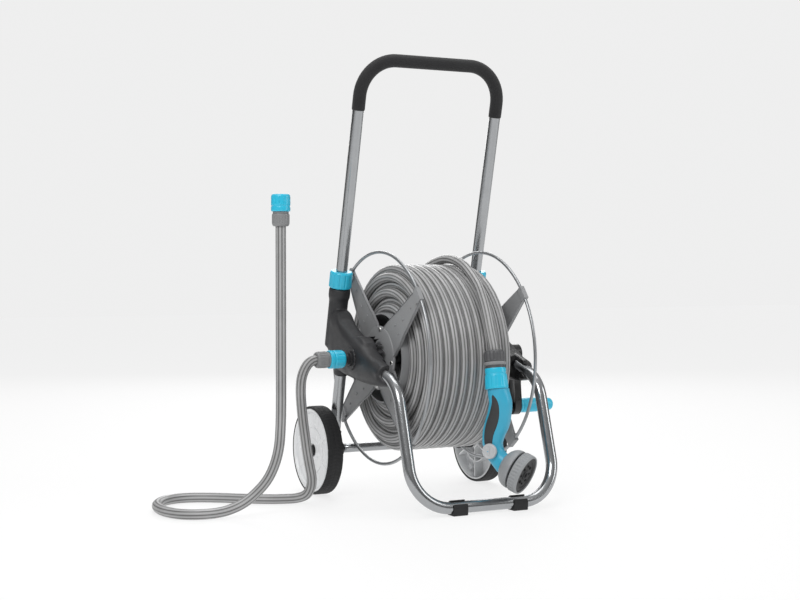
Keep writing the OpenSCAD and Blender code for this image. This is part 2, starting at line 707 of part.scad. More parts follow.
place() handle_tube();
place() handle_grip();
place() collar_left();
place() collar_right();
place() collet_left();
place() collet_right();
place() bracket_left();
place() bracket_right();
place() bracket_screws();
place() front_tube();
place() foot_left();
place() foot_right();
place() rear_leg_left();
place() rear_leg_right();
place() axle_clamp_left();
place() axle_clamp_right();
place() axle_tube();
place() axle_rod();
place() axle_washers();
place() axle_caps();
place() tyre_left();
place() tyre_right();
place() rim_left();
place() rim_right();
place() bush_left();
place() bush_right();
place() inlet_nipple();
place() nipple_seals();
place() drum();
place() flange_left();
place() flange_right();
place() ring_left();
place() ring_right();
place() flange_screws();
place() drum_outlet();
place() hose_winding();
place() crank_shaft();
place() crank_arm();
place() crank_pin();
place() crank_grip();
place() inlet_connector();
place() inlet_sleeve();
place() inlet_nut();
place() feed_hose();
place() tap_connector();
place() tap_sleeve();
place() tap_nut();
place() hose_tail();
place() gun_connector();
place() gun_sleeve();
place() gun_nut();
place() gun_nipple();
place() gun_body();
place() gun_inset();
place() gun_knob();
place() gun_shroud();
place() gun_ring();
place() gun_face();
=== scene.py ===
"""Looks of a garden hose reel cart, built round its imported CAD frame. Lengths are in millimetres
in the cart's own frame (X along the reel axis, front towards -Y, +Z up) and metres in Blender."""

import json
import math

import bmesh
import bpy
import numpy as np
from mathutils import Matrix, Vector


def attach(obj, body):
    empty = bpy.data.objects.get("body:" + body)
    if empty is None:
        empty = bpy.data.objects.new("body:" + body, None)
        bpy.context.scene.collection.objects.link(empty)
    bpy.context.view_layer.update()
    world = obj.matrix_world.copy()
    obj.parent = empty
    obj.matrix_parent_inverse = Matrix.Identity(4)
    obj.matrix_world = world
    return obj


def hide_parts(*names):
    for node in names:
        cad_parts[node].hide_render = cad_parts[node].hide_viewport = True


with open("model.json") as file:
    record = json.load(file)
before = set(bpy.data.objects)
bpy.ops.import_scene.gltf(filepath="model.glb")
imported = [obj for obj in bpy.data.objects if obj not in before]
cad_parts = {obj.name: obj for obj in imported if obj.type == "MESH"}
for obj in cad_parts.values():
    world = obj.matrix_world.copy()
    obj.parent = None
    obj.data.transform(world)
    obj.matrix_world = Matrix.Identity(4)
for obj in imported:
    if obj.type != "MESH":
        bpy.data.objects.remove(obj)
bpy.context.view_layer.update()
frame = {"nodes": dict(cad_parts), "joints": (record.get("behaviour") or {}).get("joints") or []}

MM = 0.001
JOINTS = {joint["name"]: joint for joint in frame["joints"]}
REEL = Vector(JOINTS["reel_spin"]["pos_m"])
SHIFT = Vector((REEL.x, REEL.y, 0))
SIDES = (("left", -1), ("right", 1))


def at(x, y, z):
    """A point of the cart's frame, in metres."""
    return SHIFT + Vector((x, y, z)) * MM


# ---- Driving dimensions, as in the CAD ------------------------------------------------

TUBE_R = 10
LEG_X = 138
BAR_Z = 764
LEAN = math.radians(13.4)
HANDLE_BEND = 64
GRIP_R = 11.5
LINE_Y, LINE_Z = 74.4, 400
LEG_OFFSET = 37.8
BAR_LOW_Y, BAR_LOW_Z = -197.6, 12.5
LOW_BEND, HIGH_BEND = 68, 60
LEG_BACK = math.radians(16.8)
SOCKET_RISE = math.radians(18)
LEG_LEN = 208.2
NOSE_LEN = 66
WHEEL_X = 153.5
RIM_R = 74.5
AXLE_Z = 79
AXLE_Y = LINE_Y + (LINE_Z - AXLE_Z) * math.tan(LEAN) - LEG_OFFSET / math.cos(LEAN)
REEL_Z = 248.3
RING_R, RING_X, RING_ROD = 184, 101.7, 2.8
DRUM_R = 79
SPOKE_ANGLE = 38
HOSE_D, FEED_D = 16.4, 17.2
LAYER_PITCH = 13.5
TURNS, LAYERS = 10, 6
WINDING_MID = -5
CRANK_R = 96
ARM_X, ARM_W = 169, 14
GRIP_LEN = 73

FEED_ROUTE = [
    (-215.7, 0, 248.3), (-226, 0, 248.3), (-236, 0, 243), (-244, 0, 232),
    (-249, 1, 216), (-250, 2, 195), (-248, 3, 170), (-245, 4, 145), (-241, 5, 120),
    (-237, 6, 95), (-232, 7, 70), (-227, 9, 48), (-226, 14, 30), (-231, 22, 16),
    (-243, 31, 10), (-262, 38, 8.7), (-290, 50, 8.7), (-322, 72, 8.7),
    (-356, 100, 8.7), (-390, 122, 8.7), (-424, 129, 8.7), (-455, 114, 8.7),
    (-477, 82, 8.7), (-487, 44, 8.7), (-486, 6, 8.7), (-474, -24, 8.7),
    (-450, -41, 8.7), (-421, -46, 9.5), (-396, -48, 14), (-374, -52, 24),
    (-355, -58, 40), (-339, -64, 60), (-328, -68, 84), (-321, -70, 112),
    (-318, -70, 145), (-317, -70, 190), (-317, -70, 260), (-317, -70, 340),
    (-317, -70, 410), (-317, -70, 480.9),
]
TAIL_ROUTE = [
    (36, 111, 380), (35.5, 86, 397.5), (35, 59, 410.3), (34, 0, 420.7), (32, -59, 410.3),
    (29, -111, 380), (26, -138, 352), (23.5, -155, 327), (21, -168, 304),
    (19.7, -178, 284), (19.5, -182.7, 272), (19.5, -184.8, 259),
]


# ---- Camera, light and floor -----------------------------------------------------------

def set_camera():
    """The photo's camera, solved from points measured in it."""
    azimuth, dip = math.radians(27.856), math.radians(1.415)
    forward = Vector((math.sin(azimuth) * math.cos(dip),
                      math.cos(azimuth) * math.cos(dip), -math.sin(dip)))
    data = bpy.data.cameras.new("camera")
    data.sensor_width = 36
    data.lens = 65.79
    data.clip_end = 50
    camera = bpy.data.objects.new("camera", data)
    bpy.context.scene.collection.objects.link(camera)
    camera.location = at(-1257.7, -2265.1, 411.9)
    camera.rotation_euler = forward.to_track_quat("-Z", "Y").to_euler()
    bpy.context.scene.camera = camera


def area_light(name, place, target, size, power, tint=(1, 1, 1)):
    data = bpy.data.lights.new(name, "AREA")
    data.shape = "RECTANGLE"
    data.size, data.size_y = size
    data.energy = power
    data.color = tint
    light = bpy.data.objects.new(name, data)
    light.location = place
    light.rotation_euler = (Vector(target) - Vector(place)).to_track_quat("-Z", "Y").to_euler()
    bpy.context.scene.collection.objects.link(light)


def add_node(tree, kind, inputs=None, **settings):
    """A shader node. Each input takes a value, or a socket that it is linked from."""
    node = tree.nodes.new("ShaderNode" + kind)
    for name, value in settings.items():
        setattr(node, name, value)
    for name, value in (inputs or {}).items():
        if isinstance(value, bpy.types.NodeSocket):
            tree.links.new(value, node.inputs[name])
        else:
            node.inputs[name].default_value = value
    return node


def fill_ramp(ramp, stops):
    """Gives a new ramp its (place, colour) stops."""
    elements = ramp.color_ramp.elements
    while len(elements) < len(stops):
        elements.new(1.0)
    for element, (place, colour) in zip(elements, stops):
        element.position = place
        element.color = (*colour, 1)


def grey_ramp(tree, value, stops):
    """Grey that follows value through (place, level) stops."""
    ramp = add_node(tree, "ValToRGB", {0: value})
    fill_ramp(ramp, [(place, (level,) * 3) for place, level in stops])
    return ramp.outputs[0]


def scaled(tree, value, factor, offset, clamp=False):
    """value times factor, plus offset."""
    return add_node(tree, "Math", {0: value, 1: factor, 2: offset}, operation="MULTIPLY_ADD",
                    use_clamp=clamp).outputs[0]


def set_studio():
    """A room whose brightness changes with height and from side to side, for reflections.
    The camera itself sees a plain pale background."""
    world = bpy.data.worlds.new("studio")
    world.use_nodes = True
    tree = world.node_tree
    tree.nodes.clear()
    coord = add_node(tree, "TexCoord")
    split = add_node(tree, "SeparateXYZ", {0: coord.outputs["Generated"]})
    height = grey_ramp(tree, scaled(tree, split.outputs["Z"], 0.5, 0.5), [
        (0.0, 0.85), (0.47, 0.75), (0.5, 0.3), (0.6, 0.55), (0.72, 0.8), (1.0, 1.0)])
    sideways = grey_ramp(tree, scaled(tree, split.outputs["X"], 0.5, 0.5), [
        (0.0, 0.55), (0.18, 0.25), (0.34, 0.95), (0.44, 1.0), (0.52, 0.3), (0.72, 0.16),
        (0.86, 0.8), (1.0, 0.45)])
    less_overhead = scaled(tree, split.outputs["Z"], -0.9, 0.85, True)
    both = add_node(tree, "Mix", {"Factor": less_overhead, "A": height, "B": sideways},
                    data_type="RGBA", blend_type="MULTIPLY")
    room = add_node(tree, "Background", {"Color": both.outputs["Result"], "Strength": 0.62})
    plain = add_node(tree, "Background", {"Color": (1, 1, 1, 1), "Strength": 0.86})
    path = add_node(tree, "LightPath")
    mix = add_node(tree, "MixShader", {0: path.outputs["Is Camera Ray"], 1: room.outputs[0],
                                       2: plain.outputs[0]})
    add_node(tree, "OutputWorld", {0: mix.outputs[0]})
    bpy.context.scene.world = world
    bpy.context.scene.view_settings.view_transform = "Standard"
    area_light("key", (-1.9, -1.5, 2.1), (0, 0, 0.3), (1.3, 1.3), 40)
    area_light("fill", (2.2, -1.7, 1.3), (0, 0, 0.3), (0.9, 1.8), 17)
    area_light("top", (0.1, 0.3, 2.6), (0, 0, 0.2), (1.8, 1.4), 22)
    area_light("back", (0.9, 2.2, 1.4), (0, 0, 0.3), (1.6, 1.2), 20)


def set_floor():
    """A pale floor that glows a little, so that it meets the background without a line."""
    mesh = bpy.data.meshes.new("floor")
    half = 9.0
    mesh.from_pydata([(-half, -half, 0), (half, -half, 0), (half, half, 0), (-half, half, 0)],
                     [], [(0, 1, 2, 3)])
    floor = bpy.data.objects.new("floor", mesh)
    floor.location.z = -0.0005
    bpy.context.scene.collection.objects.link(floor)
    material, shader, _ = new_material("floor_pale", (0.19, 0.19, 0.19), 0.7)
    shader.inputs["Specular IOR Level"].default_value = 0.1
    shader.inputs["Emission Color"].default_value = (1, 1, 1, 1)
    shader.inputs["Emission Strength"].default_value = 0.76
    mesh.materials.append(material)


# ---- Materials ---------------------------------------------------------------------------

def new_material(name, colour, roughness, metallic=0.0):
    material = bpy.data.materials.new(name)
    material.use_nodes = True
    tree = material.node_tree
    shader = tree.nodes["Principled BSDF"]
    shader.inputs["Base Color"].default_value = (*colour, 1)
    shader.inputs["Roughness"].default_value = roughness
    shader.inputs["Metallic"].default_value = metallic
    return material, shader, tree


def noise(tree, scale, detail=3.0):
    """A noise in object coordinates."""
    place = add_node(tree, "TexCoord").outputs["Object"]
    return add_node(tree, "TexNoise", {"Vector": place, "Scale": scale,
                                       "Detail": detail}).outputs["Fac"]


def ramped(tree, value, colours):
    """Colour through two or more shades as value goes from 0.3 to 0.7."""
    ramp = add_node(tree, "ValToRGB", {0: value})
    count = len(colours) - 1
    fill_ramp(ramp, [(0.3 + 0.4 * i / count, colour) for i, colour in enumerate(colours)])
    return ramp.outputs[0]


def spread(tree, value, low, high):
    """value's range 0.3 to 0.7 moved to low to high."""
    return add_node(tree, "MapRange", {"Value": value, "From Min": 0.3, "From Max": 0.7,
                                       "To Min": low, "To Max": high}).outputs[0]


def bump(tree, shader, height, distance):
    """Adds relief, distance millimetres deep, to any that the shader has already."""
    node = add_node(tree, "Bump", {"Height": height, "Distance": distance * MM,
                                   "Strength": 1.0})
    previous = shader.inputs["Normal"].links
    if previous:
        tree.links.new(previous[0].from_socket, node.inputs["Normal"])
    tree.links.new(node.outputs[0], shader.inputs["Normal"])


def plastic(name, colour, roughness=0.4, grain=0.06, grain_scale=2200, coat=0.0):
    """Moulded plastic: faint cloudiness, a fine grain, and scuffed gloss."""
    material, shader, tree = new_material(name, colour, roughness)
    shades = [tuple(c * level for c in colour) for level in (0.94, 1.0, 1.06)]
    tree.links.new(ramped(tree, noise(tree, 14, 4), shades), shader.inputs["Base Color"])
    tree.links.new(spread(tree, noise(tree, 60, 5), roughness - 0.05, roughness + 0.07),
                   shader.inputs["Roughness"])
    bump(tree, shader, noise(tree, grain_scale, 2), grain)
    shader.inputs["Coat Weight"].default_value = coat
    shader.inputs["Coat Roughness"].default_value = 0.15
    return material


def metal(name, colour, roughness, scratch=0.03):
    """Polished metal: a fine grain, and smudges that dull it here and there."""
    material, shader, tree = new_material(name, colour, roughness, 1.0)
    tree.links.new(spread(tree, noise(tree, 18, 5), roughness - 0.03, roughness + 0.06),
                   shader.inputs["Roughness"])
    shades = [tuple(c * level for c in colour) for level in (0.93, 1.0)]
    tree.links.new(ramped(tree, noise(tree, 35, 4), shades), shader.inputs["Base Color"])
    bump(tree, shader, noise(tree, 900, 2), scratch)
    return material


def foam(name):
    """Closed-cell foam: small cells and a faint sheen."""
    material, shader, tree = new_material(name, (0.009, 0.009, 0.010), 0.82)
    place = add_node(tree, "TexCoord").outputs["Object"]
    cells = add_node(tree, "TexVoronoi", {"Vector": place, "Scale": 1400})
    bump(tree, shader, cells.outputs["Distance"], 0.12)
    shades = [(0.007, 0.007, 0.008), (0.012, 0.012, 0.013)]
    tree.links.new(ramped(tree, noise(tree, 40, 4), shades), shader.inputs["Base Color"])
    shader.inputs["Sheen Weight"].default_value = 0.12
    shader.inputs["Sheen Roughness"].default_value = 0.5
    return material


def hose_material(name, body, dark, light, stripes=9):
    """PVC hose: lines drawn along it at even angles, fine scuffs, a soft gloss."""
    material, shader, tree = new_material(name, body, 0.36)
    around = add_node(tree, "SeparateXYZ", {0: add_node(tree, "UVMap", uv_map="along").outputs[0]})
    turns = add_node(tree, "Math", {0: around.outputs["X"], 1: 2 * math.pi * stripes},
                     operation="MULTIPLY")
    sine = add_node(tree, "Math", {0: turns.outputs[0]}, operation="SINE")
    wave = add_node(tree, "MapRange", {"Value": sine.outputs[0], "From Min": -1}).outputs[0]
    ramp = add_node(tree, "ValToRGB", {0: wave})
    fill_ramp(ramp, [(0.0, light), (0.12, body), (0.78, body), (0.93, dark)])
    cloud = ramped(tree, noise(tree, 25, 4), [(0.86,) * 3, (1.05,) * 3])
    tint = add_node(tree, "Mix", {"Factor": 1.0, "A": ramp.outputs[0], "B": cloud},
                    data_type="RGBA", blend_type="MULTIPLY")
    tree.links.new(tint.outputs["Result"], shader.inputs["Base Color"])
    tree.links.new(spread(tree, noise(tree, 80, 4), 0.3, 0.44), shader.inputs["Roughness"])
    bump(tree, shader, wave, 0.25)
    bump(tree, shader, noise(tree, 1500, 2), 0.04)
    return material


def make_materials():
    return {
        "tube": metal("polished_tube", (0.40, 0.41, 0.42), 0.2, 0.02),
        "grip": foam("foam_grip"),
        "blue": plastic("blue_plastic", (0.022, 0.49, 0.70), 0.32, coat=0.2),
        "gun_blue": plastic("gun_blue", (0.036, 0.39, 0.58), 0.4, grain=0.05, coat=0.1),
        "white": plastic("white_plastic", (0.75, 0.75, 0.74), 0.45),
        "charcoal": plastic("charcoal_plastic", (0.021, 0.021, 0.023), 0.45, grain=0.12),
        "black": plastic("black_plastic", (0.006, 0.006, 0.0065), 0.30, grain=0.05, coat=0.2),
        "steel": metal("plated_steel", (0.60, 0.60, 0.59), 0.28, 0.03),
        "rubber": plastic("black_rubber", (0.008, 0.008, 0.009), 0.62, grain=0.12),
        "tyre": plastic("tyre_rubber", (0.010, 0.010, 0.011), 0.68, grain=0.15, grain_scale=1200),
        "rim": plastic("rim_plastic", (0.78, 0.79, 0.80), 0.24, coat=0.4),
        "reel": plastic("reel_plastic", (0.27, 0.274, 0.28), 0.38, grain=0.1),
        "ring": metal("ring_wire", (0.38, 0.39, 0.40), 0.38, 0.03),
        "outlet": plastic("outlet_plastic", (0.06, 0.06, 0.062), 0.5),
        "hose": hose_material("hose_pvc", (0.33,) * 3, (0.10,) * 3, (0.52, 0.52, 0.525)),
        "fitting": plastic("connector_grey", (0.23, 0.232, 0.236), 0.42),
        "fitting_dark": plastic("connector_dark", (0.08, 0.081, 0.085), 0.42),
        "inset": plastic("gun_grip_rubber", (0.035, 0.036, 0.038), 0.58, grain=0.3,
                         grain_scale=900),
        "gun_grey": plastic("gun_grey", (0.28, 0.29, 0.30), 0.42),
        "knob": plastic("knob_grey", (0.50, 0.51, 0.52), 0.36, coat=0.1),
        "nozzle": plastic("nozzle_black", (0.008, 0.008, 0.009), 0.55),
    }


MATERIALS = make_materials()


# ---- Mesh tools --------------------------------------------------------------------------

def add_object(name, mesh, material):
    """A smooth-shaded object with one material."""
    mesh.materials.append(MATERIALS[material])
    mesh.shade_smooth()
    obj = bpy.data.objects.new(name, mesh)
    bpy.context.scene.collection.objects.link(obj)
    return obj


def new_object(name, points, faces, material):
    mesh = bpy.data.meshes.new(name)
    mesh.from_pydata([tuple(p) for p in points], [], faces)
    mesh.validate()
    return add_object(name, mesh, material)


def from_bmesh(name, bm, material, matrix=None):
    """An object from a bmesh, moved by matrix, with every face turned outwards."""
    if matrix:
        bm.transform(matrix)
    bmesh.ops.recalc_face_normals(bm, faces=bm.faces)
    mesh = bpy.data.meshes.new(name)
    bm.to_mesh(mesh)
    bm.free()
    return add_object(name, mesh, material)


def clean(obj):
    """Welds the points that fall together and turns every face outwards."""
    bm = bmesh.new()
    bm.from_mesh(obj.data)
    bmesh.ops.remove_doubles(bm, verts=bm.verts, dist=1e-6)
    bmesh.ops.recalc_face_normals(bm, faces=bm.faces)
    bm.to_mesh(obj.data)
    bm.free()
    return obj


def apply_modifiers(obj):
    graph = bpy.context.evaluated_depsgraph_get()
    mesh = bpy.data.meshes.new_from_object(obj.evaluated_get(graph))
    obj.modifiers.clear()
    old = obj.data
    obj.data = mesh
    bpy.data.meshes.remove(old)


def bevel(obj, width, segments=2, angle=30):
    """Rounds the edges sharper than angle, and keeps flat faces flat to the eye."""
    modifier = obj.modifiers.new("edges", "BEVEL")
    modifier.width = width * MM
    modifier.segments = segments
    modifier.limit_method = "ANGLE"
    modifier.angle_limit = math.radians(angle)
    modifier.harden_normals = True
    apply_modifiers(obj)


def cut(obj, points, faces):
    """Takes a closed shape out of an object."""
    cutter = clean(new_object("cutter", points, faces, "black"))
    cutter.data.materials[0] = obj.data.materials[0]
    modifier = obj.modifiers.new("bore", "BOOLEAN")
    modifier.operation = "DIFFERENCE"
    modifier.solver = "EXACT"
    modifier.object = cutter
    apply_modifiers(obj)
    bpy.data.objects.remove(cutter)


def hand_over(obj, body, slot, *nodes):
    """obj rides on a body and stands for CAD nodes. slot, the name of a finish, is not used."""
    if nodes:
        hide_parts(*nodes)
    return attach(obj, body)


def placed(points, matrix):
    return [matrix @ Vector(p) for p in points]


def basis(place, z_axis, x_hint=(1, 0, 0)):
    """A frame at a point of the cart, with +Z along z_axis and +X near x_hint."""
    z = Vector(z_axis).normalized()
    x = Vector(x_hint)
    x = (x - z * x.dot(z)).normalized()
    y = z.cross(x)
    origin = at(*place)
    return Matrix((
        (x.x * MM, y.x * MM, z.x * MM, origin.x),
        (x.y * MM, y.y * MM, z.y * MM, origin.y),
        (x.z * MM, y.z * MM, z.z * MM, origin.z),
        (0, 0, 0, 1)))


def lathe(profile, steps=64, ripple=None, closed=False):
    """Turns a profile of (radius, z) about Z. ripple(angle, r, z) changes the radius, and
    closed joins the profile's end to its start, as on a ring."""
    points, faces = [], []
    count = len(profile)
    for i in range(steps):
        angle = 2 * math.pi * i / steps
        for r, z in profile:
            extra = ripple(angle, r, z) if ripple else 0.0
            points.append(((r + extra) * math.cos(angle), (r + extra) * math.sin(angle), z))
    for i in range(steps):
        j = (i + 1) % steps
        for k in range(count if closed else count - 1):
            n = (k + 1) % count
            faces.append((i * count + k, j * count + k, j * count + n, i * count + n))
    return points, faces


def turned(name, profile, steps, matrix, material, ripple=None, closed=False):
    """An object turned from a profile and stood at matrix."""
    points, faces = lathe(profile, steps, ripple, closed)
    return clean(new_object(name, placed(points, matrix), faces, material))


def ring_faces(rings, count, capped=True):
    """Faces that join successive rings of count points each, with a cap at both ends."""
    faces = []
    for i in range(rings - 1):
        for k in range(count):
            n = (k + 1) % count
            faces.append((i * count + k, i * count + n, (i + 1) * count + n, (i + 1) * count + k))
    if capped:
        faces.append(tuple(range(count))[::-1])
        faces.append(tuple((rings - 1) * count + k for k in range(count)))
    return faces


def mirrored(line):
    """The line on the other side of the cart, run the other way."""
    return [Vector((-p.x, p.y, p.z)) for p in reversed(line)]


def rounded(profile, radius=0.8, steps=3, closed=False):
    """The profile with each corner rounded, where there is room."""
    result = []
    count = len(profile)
    for i, corner in enumerate(profile):
        here = Vector(corner)
        if not closed and i in (0, count - 1):
            result.append(tuple(here))
            continue
        before = Vector(profile[i - 1]) - here
        after = Vector(profile[(i + 1) % count]) - here
        reach = min(radius, before.length * 0.45, after.length * 0.45)
        if reach < 1e-6:
            result.append(tuple(here))
            continue
        start = here + before.normalized() * reach
        end = here + after.normalized() * reach
        for s in range(steps + 1):
            t = s / steps
            result.append(tuple((1 - t) ** 2 * start + 2 * t * (1 - t) * here + t * t * end))
    return result


def dense(profile, step):
    """A closed profile with points at most a step apart."""
    result = []
    for (r0, z0), (r1, z1) in zip(profile, profile[1:] + profile[:1]):
        parts = max(1, int(math.hypot(r1 - r0, z1 - z0) / step))
        result += [(r0 + (r1 - r0) * i / parts, z0 + (z1 - z0) * i / parts)
                   for i in range(parts)]
    return result


def catmull_point(a, b, c, d, t):
    return 0.5 * (2 * b + (c - a) * t + (2 * a - 5 * b + 4 * c - d) * t * t
                  + (3 * b - a - 3 * c + d) * t ** 3)


def catmull(route, steps):
    """A smooth line through a route's points."""
    points = [Vector(p) for p in route]
    line = []
    for i in range(len(points) - 1):
        a, b = points[max(i - 1, 0)], points[i]
        c, d = points[i + 1], points[min(i + 2, len(points) - 1)]
        line += [catmull_point(a, b, c, d, k / steps) for k in range(steps)]
    line.append(points[-1])
    return line


def sweep(name, line, radius, sides, material, closed=False, up=(0, 0, 1), bore=0.0):
    """A round tube along a line. radius is a number or a function of the length so far and
    the whole length. A bore leaves it open-ended, with walls."""
    pts = np.array([tuple(p) for p in line])
    count = len(pts)
    if closed:
        ahead, behind = np.roll(pts, -1, 0), np.roll(pts, 1, 0)
    else:
        ahead = np.vstack([pts[1:], pts[-1:]])
        behind = np.vstack([pts[:1], pts[:-1]])
    direction = ahead - behind
    direction /= np.linalg.norm(direction, axis=1)[:, None]
    run = np.concatenate([[0], np.cumsum(np.linalg.norm(np.diff(pts, axis=0), axis=1))])
    whole = run[-1]
    side = np.array(up, float)
    angles = 2 * np.pi * np.arange(sides) / sides
    rings = []
    for i in range(count):
        side = side - direction[i] * side.dot(direction[i])
        side /= np.linalg.norm(side)
        other = np.cross(direction[i], side)
        r = radius(run[i], whole) if callable(radius) else radius
        circle = np.outer(np.cos(angles), side) + np.outer(np.sin(angles), other)
        rings.append(pts[i] + r * circle)
    faces = ring_faces(count, sides, not closed and not bore)
    end = (count - 1) * sides
    if closed:
        faces += [(end + k, end + (k + 1) % sides, (k + 1) % sides, k) for k in range(sides)]
    if bore:
        rings += [pts[i] + (rings[i] - pts[i]) * bore / np.linalg.norm(rings[i][0] - pts[i])
                  for i in (0, 1, count - 2, count - 1)]
        near, near_deep, far_deep, far = [(count + i) * sides for i in range(4)]
        for k in range(sides):
            j = (k + 1) % sides
            faces.append((k, near + k, near + j, j))
            faces.append((near + k, near_deep + k, near_deep + j, near + j))
            faces.append((end + k, end + j, far + j, far + k))
            faces.append((far + k, far + j, far_deep + j, far_deep + k))
    points = np.vstack(rings) * MM + np.array(SHIFT)
    obj = new_object(name, points, faces, material)
    layer = obj.data.uv_layers.new(name="along")
    total = len(points)
    u = np.tile(np.arange(sides) / sides, total // sides + 1)[:total]
    v = np.zeros(total)
    v[:count * sides] = np.repeat(run * MM, sides)
    for poly in obj.data.polygons:
        us = [u[vi] for vi in poly.vertices]
        wrap = max(us) - min(us) > 0.5
        for loop, value in zip(poly.loop_indices, us):
            vi = obj.data.loops[loop].vertex_index
            layer.data[loop].uv = (value + (1.0 if wrap and value < 0.5 else 0.0), v[vi])
    return obj


def arc(centre, start, end, degrees, steps):
    """Points from start direction turning to end direction about a centre, both at right
    angles and given with the radius as their length."""
    a, b, c = Vector(start), Vector(end), Vector(centre)
    return [c + a * math.cos(math.radians(degrees) * i / steps)
            + b * math.sin(math.radians(degrees) * i / steps) for i in range(steps + 1)]


def on_line(s, forward=0.0, x=0.0):
    """A point on the handle's line, s up from its named point."""
    return Vector((x, LINE_Y - s * math.sin(LEAN) - forward * math.cos(LEAN),
                   LINE_Z + s * math.cos(LEAN) - forward * math.sin(LEAN)))


LINE_UP = Vector((0, -math.sin(LEAN), math.cos(LEAN)))


# ---- Frame: tubes, grip, collars, brackets, feet ---------------------------------------

def handle_path(start_s):
    """The handle tube's centre line, from start_s up one leg, across and down the other."""
    top = (BAR_Z - LINE_Z) / math.cos(LEAN)
    bend = top - HANDLE_BEND
    line = [on_line(start_s + (bend - start_s) * i / 6, 0, -LEG_X) for i in range(6)]
    corner = on_line(bend, 0, HANDLE_BEND - LEG_X)
    line += arc(corner, (-HANDLE_BEND, 0, 0), LINE_UP * HANDLE_BEND, 90, 16)
    return line + mirrored(line)


def leg_frame(forward, up):
    """A point of the right front leg's plane: forward of the leg and up from the low bar."""
    return Vector((LEG_X, BAR_LOW_Y + up * math.sin(LEG_BACK) + forward * math.cos(LEG_BACK),
                   BAR_LOW_Z + up * math.cos(LEG_BACK) - forward * math.sin(LEG_BACK)))


TURN = math.radians(90) - LEG_BACK - SOCKET_RISE
LEG_STRAIGHT = LEG_LEN - HIGH_BEND * math.tan(TURN / 2)


def nose_point(along):
    """A point on the front tube's end, along from its last bend into the bracket."""
    return leg_frame(HIGH_BEND * (1 - math.cos(TURN)) + along * math.sin(TURN),
                     LEG_STRAIGHT + HIGH_BEND * math.sin(TURN) + along * math.cos(TURN))


def front_path():
    leg_up = Vector((0, math.sin(LEG_BACK), math.cos(LEG_BACK)))
    bar_corner = Vector((LEG_X - LOW_BEND, BAR_LOW_Y, BAR_LOW_Z)) + leg_up * LOW_BEND
    line = arc(bar_corner, -leg_up * LOW_BEND, Vector((LOW_BEND, 0, 0)), 90, 14)
    steps = 5
    line += [leg_frame(0, LOW_BEND + (LEG_STRAIGHT - LOW_BEND) * i / steps)
             for i in range(1, steps)]
    line += [leg_frame(HIGH_BEND * (1 - math.cos(TURN * i / 10)),
                       LEG_STRAIGHT + HIGH_BEND * math.sin(TURN * i / 10)) for i in range(11)]
    line += [nose_point(NOSE_LEN * i / 3) for i in range(1, 4)]
    return mirrored(line) + line


def make_tubes():
    handle = sweep("handle_tube_finish", handle_path(-130), TUBE_R, 40, "tube",
                   up=(0, -1, 0), bore=TUBE_R - 1.2)
    hand_over(handle, "handle", "polished_tube", "handle_tube")
    grip_start = 285

    def grip_radius(run, whole):
        edge = min(run, whole - run)
        return GRIP_R - 1.1 * max(0.0, 1 - edge / 2.5) ** 2

    line = handle_path(grip_start)
    ends = [line[0] + LINE_UP * d for d in (0.6, 1.4, 2.6)]
    line = [line[0]] + ends + line[1:-1] + mirrored(ends) + [line[-1]]
    grip = sweep("foam_grip", line, grip_radius, 40, "grip", up=(0, -1, 0), bore=TUBE_R + 0.1)
    hand_over(grip, "handle", "foam_grip", "handle_grip")
    front = sweep("front_tube_finish", front_path(), TUBE_R, 40, "tube", up=(0, 0, 1),
                  bore=TUBE_R - 1.2)
    hand_over(front, "root", "polished_tube", "front_tube")
    low = (AXLE_Z - LINE_Z) / math.cos(LEAN) + LEG_OFFSET * math.tan(LEAN) + 14
    for side, sign in SIDES:
        line = [on_line(low + (-142 - low) * i / 4, LEG_OFFSET, sign * LEG_X) for i in range(5)]
        leg = sweep(f"rear_leg_{side}_finish", line, TUBE_R, 40, "tube", bore=TUBE_R - 1.2)
        hand_over(leg, "root", "polished_tube", f"rear_leg_{side}")
    line = [Vector((x, AXLE_Y, AXLE_Z)) for x in np.linspace(-130, 130, 7)]
    axle = sweep("axle_tube_finish", line, 8, 32, "tube", bore=4.6)
    hand_over(axle, "root", "polished_tube", "axle_tube")


def make_collars():
    """Twist collars with shallow flutes between broad ribs."""
    profile = rounded([(10.1, 0), (18.8, 0), (20.3, 1.8), (20.3, 27), (18.4, 30), (10.1, 30)], 1.2)

    def flute(angle, r, z):
        if r < 17 or not 2.6 < z < 26.6:
            return 0.0
        fade = min(1.0, (z - 2.6) / 1.6, (26.6 - z) / 1.6)
        return -1.1 * fade * max(0.0, math.cos(12 * angle)) ** 4

    for side, sign in SIDES:
        matrix = basis(on_line(-31, 0, sign * LEG_X), LINE_UP)
        collar = turned(f"twist_collar_{side}", dense(profile, 1.6), 144, matrix, "blue", flute,
                        closed=True)
        hand_over(collar, f"collar_{side}", "blue_plastic", f"collar_{side}")


def make_feet():
    """Rubber clips round the front bar, open at the top, with a flat sole."""
    outer, inner, length = TUBE_R + 2.4, TUBE_R + 0.05, 27

    def round_bar(r, first, last, step):
        return [(r * math.cos(math.radians(a)), BAR_LOW_Z + r * math.sin(math.radians(a)))
                for a in range(first, last, step)]

    outline = [(-10.5, 0), (10.5, 0), (11.6, 1.2)] + round_bar(outer, -10, 96, 7)
    outline += round_bar(inner, 95, -216, -10) + round_bar(outer, -215, -169, 9)
    outline += [(-11.6, 1.2)]
    for side, sign in SIDES:
        points = [at(sign * 58 + x, BAR_LOW_Y + y, z)
                  for x in (-length / 2, length / 2) for y, z in outline]
        foot = clean(new_object(f"rubber_foot_{side}", points, ring_faces(2, len(outline)),
                                "rubber"))
        bevel(foot, 0.9, 2, 35)
        hand_over(foot, "root", "black_rubber", f"foot_{side}")


